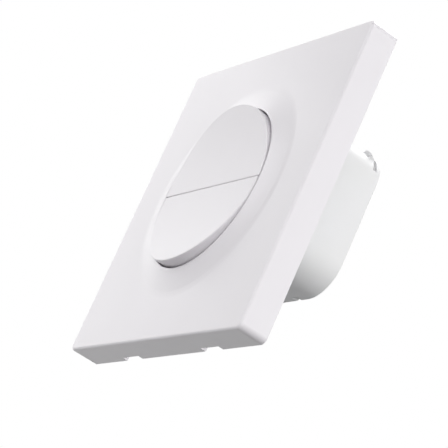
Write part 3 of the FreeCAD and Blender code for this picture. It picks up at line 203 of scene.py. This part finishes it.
def printed_board():
    """Green solder mask over etched copper: raised tracks 0.4 mm wide that show through paler."""
    material, tree, shader = new_material("solder_mask_over_copper", "0B5A2A", rough=0.32)
    flat = object_place(tree, turn=(math.pi / 2, 0.0, 0.0))
    pitch = TRACK_PITCH / TRACK_FIELD
    fields = add(tree, "TexVoronoi",
                 {"voronoi_dimensions": "2D", "distance": "CHEBYCHEV", "Scale": 1.0 / TRACK_FIELD},
                 {"Vector": flat})
    rings = add(tree, "Math", {"operation": "PINGPONG", 1: pitch / 2}, {0: fields.outputs["Distance"]})
    routed = add(tree, "Math", {"operation": "GREATER_THAN", 1: POURED_SHARE}, {0: fields.outputs["Color"]})
    track = add(tree, "MapRange", {"From Min": TRACK_EDGE_START * pitch, "From Max": TRACK_EDGE_END * pitch},
                {"Value": rings.outputs["Value"]})
    copper = add(tree, "Math", {"operation": "MULTIPLY"},
                 {0: track.outputs["Result"], 1: routed.outputs["Value"]})
    raise_surface(tree, shader, copper.outputs["Value"], COPPER_THICKNESS)
    two_tones(tree, shader, copper.outputs["Value"], "0C5429", "176634", low=0.2, high=0.8)
    return material


def sintered_ferrite():
    """Manganese zinc ferrite, pressed, fired and ground: charcoal, with paler crystals painted into the base
    colour as glints.
    """
    material, tree, shader = new_material("sintered_ground_ferrite", "2C2C2E", rough=0.5)
    place = object_place(tree)
    grain(tree, shader, place, spacing=0.12 * MM, height=0.004 * MM, rough=0.5, spread=0.12)
    # The paler crystal shade is a painted glint: light caught by ground facets, put into the base colour
    two_tones(tree, shader, crystals(tree, place, 0.2 * MM), "27272A", "47474B", low=0.2, high=0.9)
    return material


def wound_tape():
    """Yellow polyester tape over the winding: glossy, with the wire's turns as fine ridges across Z."""
    material, tree, shader = new_material("polyester_tape_over_winding", "D8B02C", rough=0.28)
    place = object_place(tree)
    turns = add(tree, "TexWave",
                {"bands_direction": "Z", "Scale": WAVE_PERIOD / WIRE_PITCH, "Distortion": TURN_WOBBLE},
                {"Vector": place})
    raise_surface(tree, shader, turns.outputs["Fac"], TURN_HEIGHT)
    two_tones(tree, shader, clouds(tree, place, 3 * MM), "D3A827", "E2BD40")
    return material


def shrunk_sleeve():
    """Dark PVC sleeve shrunk on the can: glossy, slightly wavy, with one pale plain stripe down its side."""
    material, tree, shader = new_material("shrunk_pvc_sleeve", "1E2230", rough=0.25)
    place = object_place(tree)
    grain(tree, shader, place, spacing=1.2 * MM, height=0.02 * MM, rough=0.25, spread=0.05)
    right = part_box("bulk_capacitor")[1].x
    across = add(tree, "SeparateXYZ", links={"Vector": place}).outputs["X"]
    stripe = add(tree, "MapRange", {"From Min": right - STRIPE_START, "From Max": right - STRIPE_END},
                 {"Value": across})
    two_tones(tree, shader, stripe.outputs["Result"], "1E2230", "9FA4AE", low=0.4, high=0.6)
    return material


def dipped_epoxy():
    """Varistor disc dipped in blue epoxy powder: glossy with a soft orange peel."""
    material, tree, shader = new_material("dipped_epoxy", "2A55A0", rough=0.22)
    place = object_place(tree)
    grain(tree, shader, place, spacing=0.9 * MM, height=0.03 * MM, rough=0.22, spread=0.06)
    two_tones(tree, shader, clouds(tree, place, 2 * MM), "274F97", "305EAC")
    return material


def tinned_sheet():
    """Tinned steel: bright, with the frosty crystals of hot tin, 0.8 mm across."""
    material, tree, shader = new_material("hot_tinned_steel", "CFCFCA", rough=0.3, metallic=1.0)
    place = object_place(tree)
    grain(tree, shader, place, spacing=0.3 * MM, height=0.002 * MM, rough=0.3, spread=0.05)
    two_tones(tree, shader, crystals(tree, place, 0.8 * MM), "C6C6C1", "D6D6D2", low=0.1, high=0.9)
    return material


# Each finish below is named for the real material and how its surface was made
FINISHES = {
    # Polycarbonate from a finely blasted tool: even, faintly violet white with soft broad reflections.
    # The blasting's 0.05 mm grain is too fine to show and is drawn at 0.3 mm.
    "white_satin": moulded("moulded_satin_polycarbonate", "EDEAEE", "EEEBEF", rough=0.30,
                           spacing=0.3 * MM, height=0.002 * MM, ior=1.58),
    "white_key": moulded("moulded_satin_polycarbonate_keys", "EDEAEE", "EEEBEF", rough=0.30,
                         spacing=0.3 * MM, height=0.002 * MM, ior=1.58),
    # ABS from a spark eroded tool: a plain white, matt, with 0.15 mm pits drawn at 0.4 mm
    "white_box": moulded("spark_eroded_abs", "F0F0F0", "F2F2F3", rough=0.50,
                         spacing=0.4 * MM, height=0.006 * MM),
    # Glass filled polyamide, moulded: a little greyer and duller, with fibres near the surface
    "carrier_plastic": moulded("moulded_white_polyamide", "E6E5E6", "E9E8E9", rough=0.5,
                               spacing=0.25 * MM, height=0.004 * MM),
    # Steel sheet, rolled, punched and zinc plated: cool grey, rolling lines 0.3 mm apart, cloudy passivation
    "zinc_steel": rolled("rolled_zinc_plated_steel", "C5C7C9", "BDC0C3", rough=0.36,
                         spacing=0.3 * MM, height=0.002 * MM, tone_size=6 * MM),
    # Screws, cold headed and nickel plated: bright and slightly warm
    "screw_steel": tumbled("cold_headed_nickel_plated_steel", "C8C8C4", "BEBEB9", rough=0.25),
    # Clamps of bent brass with a flash of nickel: pale yellow metal
    "clamp_brass": tumbled("bent_nickel_flashed_brass", "D8C690", "CDBB88", rough=0.3),
    "board_green": printed_board(),
    # Polyamide with glass, moulded black: dull, faintly mottled
    "black_plastic": moulded("moulded_black_polyamide", "1C1C1E", "252528", rough=0.5,
                             spacing=0.25 * MM, height=0.005 * MM, tone_size=2 * MM),
    # Relay case of polyester, moulded blue and sealed: smooth with a low gloss
    "relay_blue": moulded("moulded_blue_polyester", "20427E", "244A8A", rough=0.38,
                          spacing=0.5 * MM, height=0.003 * MM, ior=1.57, tone_size=4 * MM),
    "ferrite": sintered_ferrite(),
    "winding_tape": wound_tape(),
    "capacitor_sleeve": shrunk_sleeve(),
    # Film capacitor: flame proof case filled with resin, flat yellow with a low gloss
    "film_yellow": moulded("resin_filled_case", "D2A62E", "D8AE3A", rough=0.4,
                           spacing=0.4 * MM, height=0.005 * MM, tone_size=3 * MM),
    "varistor_blue": dipped_epoxy(),
    "shield_metal": tinned_sheet(),
    # Snap domes pressed from spring steel strip: bright, with fine lines
    "dome_steel": rolled("rolled_spring_steel", "C6C6C6", "BCBCBC", rough=0.28,
                         spacing=0.1 * MM, height=0.001 * MM, tone_size=1 * MM),
}


def dress_nodes():
    slots = {s["node"]: s["material_slot"] for s in frame["record"]["subparts"]}
    for name, node in nodes.items():
        for slot in node.material_slots:
            slot.material = FINISHES[slots[name]]


# Ways to shape a small piece; X, Y and Z are the axes by number

X, Y, Z = 0, 1, 2
# A direction runs along an axis when its share on that axis is larger than this
ALONG = 0.9
# Two places count as one when they are nearer than this
SAME_PLACE = 0.01 * MM
ROUND_SIDES = 24


def begin(name, low, high):
    """A block between two corners, ready to be shaped."""
    bpy.ops.object.select_all(action="DESELECT")
    middle = [(a + b) / 2 for a, b in zip(low, high)]
    bpy.ops.mesh.primitive_cube_add(size=1.0, location=middle)
    piece = bpy.context.object
    piece.name = name
    piece.scale = [b - a for a, b in zip(low, high)]
    bpy.ops.object.transform_apply(location=True, rotation=True, scale=True)
    return piece


def begin_round(name, middle, radius, depth, sides=ROUND_SIDES):
    """A round block along Y, ready to be shaped."""
    bpy.ops.object.select_all(action="DESELECT")
    bpy.ops.mesh.primitive_cylinder_add(vertices=sides, radius=radius, depth=depth, location=middle,
                                        rotation=(math.pi / 2, 0, 0))
    piece = bpy.context.object
    piece.name = name
    bpy.ops.object.transform_apply(location=True, rotation=True, scale=True)
    return piece


def choose_faces(piece, test):
    """Select, in edit mode, the faces whose middle and direction pass the test."""
    bpy.ops.object.mode_set(mode="EDIT")
    bpy.ops.mesh.select_mode(type="FACE")
    bpy.ops.mesh.select_all(action="DESELECT")
    bpy.ops.object.mode_set(mode="OBJECT")
    for face in piece.data.polygons:
        face.select = test(face.center, face.normal)
    bpy.ops.object.mode_set(mode="EDIT")


def choose_edges(piece, test):
    """Select, in edit mode, the edges whose middle and direction pass the test."""
    bpy.ops.object.mode_set(mode="EDIT")
    bpy.ops.mesh.select_mode(type="EDGE")
    bpy.ops.mesh.select_all(action="DESELECT")
    bpy.ops.object.mode_set(mode="OBJECT")
    points = piece.data.vertices
    for edge in piece.data.edges:
        start, end = (points[i].co for i in edge.vertices)
        edge.select = test((start + end) / 2, (end - start).normalized())
    bpy.ops.object.mode_set(mode="EDIT")


def stretch_chosen(x, y, z, **options):
    """Stretch what is selected, about its own middle unless another is given, and leave edit mode."""
    bpy.ops.transform.resize(value=(x, y, z), **options)
    bpy.ops.object.mode_set(mode="OBJECT")


def round_corners(piece, axis, radius, segments=4):
    """Round the edges that run along an axis."""
    choose_edges(piece, lambda at, direction: abs(direction[axis]) > ALONG)
    bpy.ops.mesh.bevel(offset=radius, segments=segments, affect="EDGES")
    bpy.ops.object.mode_set(mode="OBJECT")


def cut_across(piece, axis, places):
    """Cut lines round a piece, square to an axis, at the given places."""
    bpy.ops.object.mode_set(mode="EDIT")
    for place in places:
        bpy.ops.mesh.select_all(action="SELECT")
        point = [0.0, 0.0, 0.0]
        point[axis] = place
        normal = [0.0, 0.0, 0.0]
        normal[axis] = 1.0
        bpy.ops.mesh.bisect(plane_co=point, plane_no=normal)
    bpy.ops.object.mode_set(mode="OBJECT")


def soften(piece, width, segments=2, angle=30.0):
    """Round every sharp edge with a bevel, applied."""
    bpy.ops.object.mode_set(mode="OBJECT")
    bevel = piece.modifiers.new("bevel", "BEVEL")
    bevel.width = width
    bevel.segments = segments
    bevel.limit_method = "ANGLE"
    bevel.angle_limit = math.radians(angle)
    bpy.ops.object.modifier_apply(modifier=bevel.name)


def pick(piece):
    """Make a piece the only one that is selected and active."""
    bpy.ops.object.select_all(action="DESELECT")
    piece.select_set(True)
    bpy.context.view_layer.objects.active = piece


def carve(piece, tool):
    """Cut a tool out of a piece, and remove the tool."""
    pick(piece)
    cutter = piece.modifiers.new("cut", "BOOLEAN")
    cutter.operation = "DIFFERENCE"
    cutter.solver = "EXACT"
    cutter.object = tool
    bpy.ops.object.modifier_apply(modifier=cutter.name)
    bpy.data.objects.remove(tool)


def moves_to(places, unit=1.0):
    """The move from the origin to each place, given in X and Z."""
    return [Matrix.Translation((x * unit, 0, z * unit)) for x, z in places]


def copies(piece, moves, name):
    """The piece at each of the given moves, joined into one, with the first one removed."""
    made = []
    for move in moves:
        twin = piece.copy()
        twin.data = piece.data.copy()
        twin.data.transform(move)
        scene.collection.objects.link(twin)
        made.append(twin)
    bpy.data.objects.remove(piece)
    bpy.ops.object.select_all(action="DESELECT")
    for twin in made:
        twin.select_set(True)
    bpy.context.view_layer.objects.active = made[0]
    bpy.ops.object.join()
    joined = bpy.context.object
    joined.name = name
    return joined


def metal_where(piece, slot, test):
    """One finish on the whole piece, and tinned metal on the faces whose middle passes the test."""
    piece.data.materials.append(FINISHES[slot])
    piece.data.materials.append(FINISHES["shield_metal"])
    choose_faces(piece, lambda at, normal: test(at))
    piece.active_material_index = 1
    bpy.ops.object.material_slot_assign()
    bpy.ops.object.mode_set(mode="OBJECT")


def finish_piece(piece, slot, node=None, smooth=35.0, body="wall_unit"):
    """Smooth shading, the finish of a slot, and the body it rides on; node is what it stands for."""
    pick(piece)
    bpy.ops.object.shade_smooth_by_angle(angle=math.radians(smooth))
    if not piece.data.materials:
        piece.data.materials.append(FINISHES[slot])
    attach(piece, body)
    if node:
        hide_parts(node)


# Small pieces on the boards, modelled here because their solids are plain, and the lip between the keys

def make_controller_chip():
    """Flat package: a black body with sloped sides and a dimple, and eight bent leads on each side."""
    low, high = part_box("controller_chip")
    middle = (low + high) / 2
    lead_reach = 0.9 * MM
    body_lift = 0.1 * MM
    face_share = 0.96
    body = begin("controller_chip_body", (low.x + lead_reach, low.y + body_lift, low.z + lead_reach),
                 (high.x - lead_reach, high.y, high.z - lead_reach))
    cut_across(body, Y, [(low.y + body_lift + high.y) / 2])
    choose_faces(body, lambda at, normal: abs(normal.y) > ALONG)
    stretch_chosen(face_share, 1.0, face_share, center_override=middle)
    soften(body, 0.06 * MM)
    dimple_inset = 1.6 * MM
    dimple_place = (low.x + dimple_inset, high.y, high.z - dimple_inset)
    carve(body, begin_round("dimple", dimple_place, radius=0.35 * MM, depth=0.1 * MM))
    finish_piece(body, "black_plastic", "controller_chip")

    count = 8
    pitch = 0.55 * MM
    lead_width = 0.22 * MM
    lead_thickness = 0.1 * MM
    foot_length = 0.35 * MM
    rise_from_foot = (0.15 * MM, 0.35 * MM, 0)
    run_to_body = (0.5 * MM, 0, 0)
    lead = begin("lead", (low.x, low.y, middle.z - lead_width / 2),
                 (low.x + foot_length, low.y + lead_thickness, middle.z + lead_width / 2))
    choose_faces(lead, lambda at, normal: normal.x > ALONG)
    for step in (rise_from_foot, run_to_body):
        bpy.ops.mesh.extrude_region_move(TRANSFORM_OT_translate={"value": step})
    bpy.ops.object.mode_set(mode="OBJECT")
    row = moves_to([(0, (i - (count - 1) / 2) * pitch) for i in range(count)])
    moves = []
    for side in range(4):
        quarters = Matrix.Rotation(side * math.pi / 2, 4, "Y")
        turn = Matrix.Translation(middle) @ quarters @ Matrix.Translation(-middle)
        moves += [turn @ move for move in row]
    finish_piece(copies(lead, moves, "controller_chip_leads"), "shield_metal")


def notched_block(name, low, high, notches):
    """A header block with V notches between its positions, on both long sides."""
    notch_width = 0.4 * MM
    notch_share = 0.86
    block = begin(name, low, high)
    cut_across(block, X, notches)

    def at_notch(at, direction):
        return abs(direction.y) > ALONG and any(abs(at.x - x) < SAME_PLACE for x in notches)

    choose_edges(block, at_notch)
    bpy.ops.mesh.bevel(offset=notch_width, segments=2, affect="EDGES")
    choose_edges(block, at_notch)
    stretch_chosen(1.0, 1.0, notch_share)
    soften(block, 0.08 * MM)
    return block


def make_board_connector():
    """Pin header on the control board, its socket on the power board, and the pins between them."""
    low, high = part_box("board_connector")
    columns = 4
    header_height = 2.4 * MM
    air_gap = 0.3 * MM
    pitch = (high.x - low.x) / columns
    notches = [low.x + pitch * i for i in range(1, columns)]
    header_top = low.y + header_height
    header = notched_block("pin_header", low, (high.x, header_top, high.z), notches)
    finish_piece(header, "black_plastic", "board_connector")
    socket = notched_block("pin_socket", (low.x, header_top + air_gap, low.z), high, notches)
    finish_piece(socket, "black_plastic")

    half = 0.32 * MM
    inset = 0.3 * MM
    pin = begin("pin", (-half, low.y + inset, -half), (half, high.y - inset, half))
    soften(pin, 0.08 * MM)
    places = [(low.x + pitch * (i + 0.5), row * pitch / 2) for i in range(columns) for row in (-1, 1)]
    finish_piece(copies(pin, moves_to(places), "header_pins"), "clamp_brass")


def make_radio_module():
    """Thin board with half round plated holes along its two long edges."""
    low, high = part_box("radio_module")
    count = 9
    pitch = 1.5 * MM
    hole_radius = 0.4 * MM
    ring_width = 0.2 * MM
    plating = 0.06 * MM
    thickness = high.y - low.y
    middle = (0, (low.y + high.y) / 2, 0)
    rows = [(i - (count - 1) / 2) * pitch for i in range(count)]
    places = [(x, edge) for x in rows for edge in (low.z, high.z)]
    board = begin("radio_module_board", low, high)
    drill = begin_round("drill", middle, hole_radius, 2 * thickness)
    carve(board, copies(drill, moves_to(places), "drills"))
    finish_piece(board, "board_green", "radio_module")

    ring = begin_round("ring", middle, hole_radius + ring_width, thickness + plating)
    carve(ring, begin_round("ring_core", middle, hole_radius - plating, 2 * thickness))
    bpy.ops.object.mode_set(mode="EDIT")
    bpy.ops.mesh.select_all(action="SELECT")
    bpy.ops.mesh.bisect(plane_co=(0, 0, 0), plane_no=(0, 0, 1), use_fill=True, clear_outer=True)
    bpy.ops.object.mode_set(mode="OBJECT")
    half_turn = Matrix.Rotation(math.pi, 4, "Y")
    moves = [move if z > 0 else move @ half_turn for move, (x, z) in zip(moves_to(places), places)]
    finish_piece(copies(ring, moves, "radio_module_pads"), "clamp_brass")


def make_radio_antenna():
    """Ceramic chip antenna: a white block with silver ends and fired silver bands round it."""
    low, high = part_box("radio_antenna")
    end_width = 0.6 * MM
    band_count = 6
    band_pitch = 0.8 * MM
    band_half = 0.3 * MM / 2
    first_band_share = 0.6
    ends = [low.x + end_width, high.x - end_width]
    bands = [low.x + end_width + band_pitch * (i + first_band_share) for i in range(band_count)]
    block = begin("radio_antenna_block", low, high)
    soften(block, 0.1 * MM, segments=3)
    cut_across(block, X, ends)
    cut_across(block, X, [place + shift for place in bands for shift in (-band_half, band_half)])

    def silvered(at):
        return at.x < ends[0] or at.x > ends[1] or any(abs(at.x - place) < band_half for place in bands)

    metal_where(block, "carrier_plastic", silvered)
    finish_piece(block, "carrier_plastic", "radio_antenna")


def make_radio_shield():
    """Pressed can: rounded corners, a shallow stepped lid, an open back and thin walls."""
    low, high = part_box("radio_shield")
    lid_border = 0.35 * MM
    step_width = 0.1 * MM
    step_depth = 0.12 * MM
    can = begin("radio_shield_can", low, high)
    round_corners(can, Y, 0.7 * MM)
    choose_faces(can, lambda at, normal: normal.y < -ALONG)
    bpy.ops.mesh.inset(thickness=lid_border)
    bpy.ops.mesh.inset(thickness=step_width, depth=-step_depth)
    choose_faces(can, lambda at, normal: normal.y > ALONG)
    bpy.ops.mesh.delete(type="FACE")
    bpy.ops.object.mode_set(mode="OBJECT")
    wall = can.modifiers.new("wall", "SOLIDIFY")
    wall.thickness = 0.15 * MM
    wall.offset = -1.0
    bpy.ops.object.modifier_apply(modifier=wall.name)
    soften(can, 0.05 * MM, angle=50.0)
    finish_piece(can, "shield_metal", "radio_shield")


def make_transformer_coil():
    """Bobbin with two flanges, a full winding between them under tape, and the tape's free end."""
    low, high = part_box("transformer_coil")
    core_low, core_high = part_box("transformer_core")
    flange = 0.7 * MM
    eye_half = 1.56 * MM
    eye_low = (-eye_half, core_low.y, low.z - flange)
    eye_high = (eye_half, core_high.y, high.z + flange)
    for name, start, end, node in (("bobbin_flange_low", low.z, low.z + flange, "transformer_coil"),
                                   ("bobbin_flange_high", high.z - flange, high.z, None)):
        plate = begin(name, (low.x, low.y, start), (high.x, high.y, end))
        round_corners(plate, Z, 0.6 * MM)
        carve(plate, begin("eye", eye_low, eye_high))
        soften(plate, 0.06 * MM)
        finish_piece(plate, "black_plastic", node)

    inset = 0.25 * MM
    winding = begin("transformer_winding", (low.x + inset, low.y + inset, low.z + flange),
                    (high.x - inset, high.y - inset, high.z - flange))
    round_corners(winding, Z, 1.6 * MM, segments=8)
    carve(winding, begin("eye", eye_low, eye_high))
    finish_piece(winding, "winding_tape")

    thickness = 0.06 * MM
    margin = 0.2 * MM
    tape_start, tape_end = low.x + 2.4 * MM, low.x + 5.4 * MM
    tape_folds = [low.x + 3.4 * MM, low.x + 4.4 * MM]
    tip_share = 0.9
    tape = begin("tape_end", (tape_start, high.y - inset, low.z + flange + margin),
                 (tape_end, high.y - inset + thickness, high.z - flange - margin))
    cut_across(tape, X, tape_folds)
    choose_faces(tape, lambda at, normal: normal.x > ALONG)
    stretch_chosen(1.0, 1.0, tip_share)
    soften(tape, 0.02 * MM)
    finish_piece(tape, "winding_tape")


def block_of_places(x, z, across, up):
    """Places in mm for chips in columns and rows, from the lowest left one on."""
    column_pitch, row_pitch = 2.4, 1.7
    return [(x + column_pitch * i, z + row_pitch * j) for i in range(across) for j in range(up)]


def make_board_parts():
    """Chip resistors and capacitors behind the control board, each a small block with tinned ends."""
    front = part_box("control_board")[1].y
    length, width, height = 1.6 * MM, 0.8 * MM, 0.5 * MM
    inside = length / 2 - 0.3 * MM
    resistor_places = block_of_places(7.5, 6.0, 3, 4) + block_of_places(-12.6, -9.5, 3, 1)
    capacitor_places = block_of_places(-11.0, 14.5, 3, 2) + block_of_places(8.0, -8.0, 3, 1)
    for name, slot, height_share, places in (("chip_resistors", "black_plastic", 0.9, resistor_places),
                                             ("chip_capacitors", "film_yellow", 1.0, capacitor_places)):
        block = begin("block", (-length / 2, front, -width / 2),
                      (length / 2, front + height * height_share, width / 2))
        soften(block, 0.05 * MM)
        cut_across(block, X, [-inside, inside])
        metal_where(block, slot, lambda at: abs(at.x) > inside)
        finish_piece(copies(block, moves_to(places, MM), name), slot)


def make_solder_joints():
    """Solder cones on the front of the power board, where the leads of the parts behind come through."""
    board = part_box("power_board")[0].y
    height = 0.7 * MM
    tip_share = 0.4
    waist_place = 0.45
    waist_share = 0.72
    waist = board - height * waist_place
    cone = begin_round("cone", (0, board - height / 2, 0), radius=0.8 * MM, depth=height, sides=20)
    choose_faces(cone, lambda at, normal: normal.y < -ALONG)
    stretch_chosen(tip_share, 1.0, tip_share)
    cut_across(cone, Y, [waist])
    choose_edges(cone, lambda at, direction: abs(at.y - waist) < SAME_PLACE)
    stretch_chosen(waist_share, 1.0, waist_share)
    soften(cone, 0.06 * MM, angle=20.0)
    relay_pins = [(side * x, z) for side in (-1, 1) for x in (11.0, 16.5) for z in (-5.5, 5.0, 10.5)]
    small_pins = [(-4.5, -5.0), (4.5, -5.0), (-10.0, -10.8), (-7.3, -10.8), (-1.0, -10.8), (2.8, -10.8)]
    coil_pins = [(-3.5, 8.0), (3.5, 8.0), (-3.5, 5.2), (3.5, 5.2)]
    moves = moves_to(relay_pins + small_pins + coil_pins, MM)
    finish_piece(copies(cone, moves, "solder_joints"), "shield_metal", smooth=60.0)


def make_split_lip():
    """Thin lip on the lower key that closes the gap between the keys a little below their faces."""
    split_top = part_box("lower_key")[1].z
    split_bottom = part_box("upper_key")[0].z
    lip_front = -9.72 * MM
    lip_depth = 1.1 * MM
    half_length = 22.3 * MM
    root = 0.15 * MM
    play = 0.04 * MM
    lip = begin("lower_key_lip", (-half_length, lip_front, split_top - root),
                (half_length, lip_front + lip_depth, split_bottom - play))
    soften(lip, 0.03 * MM)
    finish_piece(lip, "white_key", body="lower_key")


# Room: a pale floor that is white to the camera, and lamps in front, behind and on both sides

FLOOR_HEIGHT = -0.7
FLOOR_SIZE = 1.6
# Light that the floor gives off towards the camera alone
FLOOR_WHITE = 0.68
# How wide each far light looks from the object, in radians
LIGHT_WIDTH = 0.7


def lay_floor():
    bpy.ops.mesh.primitive_plane_add(size=FLOOR_SIZE, location=(0, 0, FLOOR_HEIGHT))
    floor = bpy.context.object
    floor.name = "floor"
    material, tree, shader = new_material("pale_floor", "DCDCDC", rough=0.8)
    path = add(tree, "LightPath")
    glow = add(tree, "Math", {"operation": "MULTIPLY", 1: FLOOR_WHITE}, {0: path.outputs["Is Camera Ray"]})
    shader.inputs["Emission Color"].default_value = (1, 1, 1, 1)
    tree.links.new(glow.outputs["Value"], shader.inputs["Emission Strength"])
    floor.data.materials.append(material)


def light_world():
    """White to the camera, in gloss and through glass; no light of its own on matt surfaces."""
    world = bpy.data.worlds.new("studio")
    scene.world = world
    world.use_nodes = True
    tree = world.node_tree
    tree.nodes.clear()
    path = add(tree, "LightPath").outputs
    seen = add(tree, "Math", {"operation": "MAXIMUM"}, {0: path["Is Camera Ray"], 1: path["Is Glossy Ray"]})
    clear = add(tree, "Math", {"operation": "MAXIMUM"},
                {0: seen.outputs["Value"], 1: path["Is Transmission Ray"]})
    white = add(tree, "Background", {"Color": (1, 1, 1, 1)}, {"Strength": clear.outputs["Value"]})
    add(tree, "OutputWorld", links={"Surface": white.outputs["Background"]})


def hang_light(name, data, direction):
    """A light that shines at the object from a direction."""
    light = bpy.data.objects.new(name, data)
    scene.collection.objects.link(light)
    light.rotation_euler = Vector(direction).to_track_quat("Z", "Y").to_euler()
    return light


def soft_light(name, direction, strength):
    """A large soft light far away, in the given direction from the object."""
    data = bpy.data.lights.new(name, "SUN")
    data.angle = LIGHT_WIDTH
    data.energy = strength
    hang_light(name, data, direction)


def near_light(name, place, size, power):
    """A soft box close to the object, whose light falls off across it."""
    data = bpy.data.lights.new(name, "AREA")
    data.shape = "SQUARE"
    data.size = size
    data.energy = power
    light = hang_light(name, data, place)
    light.location = place


place_camera()
dress_nodes()
make_controller_chip()
make_board_connector()
make_radio_module()
make_radio_antenna()
make_radio_shield()
make_transformer_coil()
make_board_parts()
make_solder_joints()
make_split_lip()
lay_floor()
light_world()
soft_light("light_front", direction=(0.0, -1.0, 0.0), strength=0.90)
soft_light("light_front_above", direction=(-0.25, -0.866, 0.433), strength=0.67)
soft_light("light_front_right", direction=(0.866, -0.5, 0.0), strength=0.80)
soft_light("light_right", direction=(1.0, 0.0, 0.0), strength=1.02)
soft_light("light_right_behind", direction=(0.69, 0.62, 0.36), strength=1.08)
near_light("box_left", place=(-0.2, -0.07, 0.05), size=0.15, power=0.070)
near_light("box_left_above", place=(-0.2, -0.05, 0.2), size=0.15, power=0.066)
near_light("box_above_module", place=(-0.04, 0.13, 0.35), size=0.2, power=0.6)
near_light("box_back", place=(-0.3, 0.5, 0.25), size=0.4, power=0.9)
scene.view_settings.view_transform = "Standard"
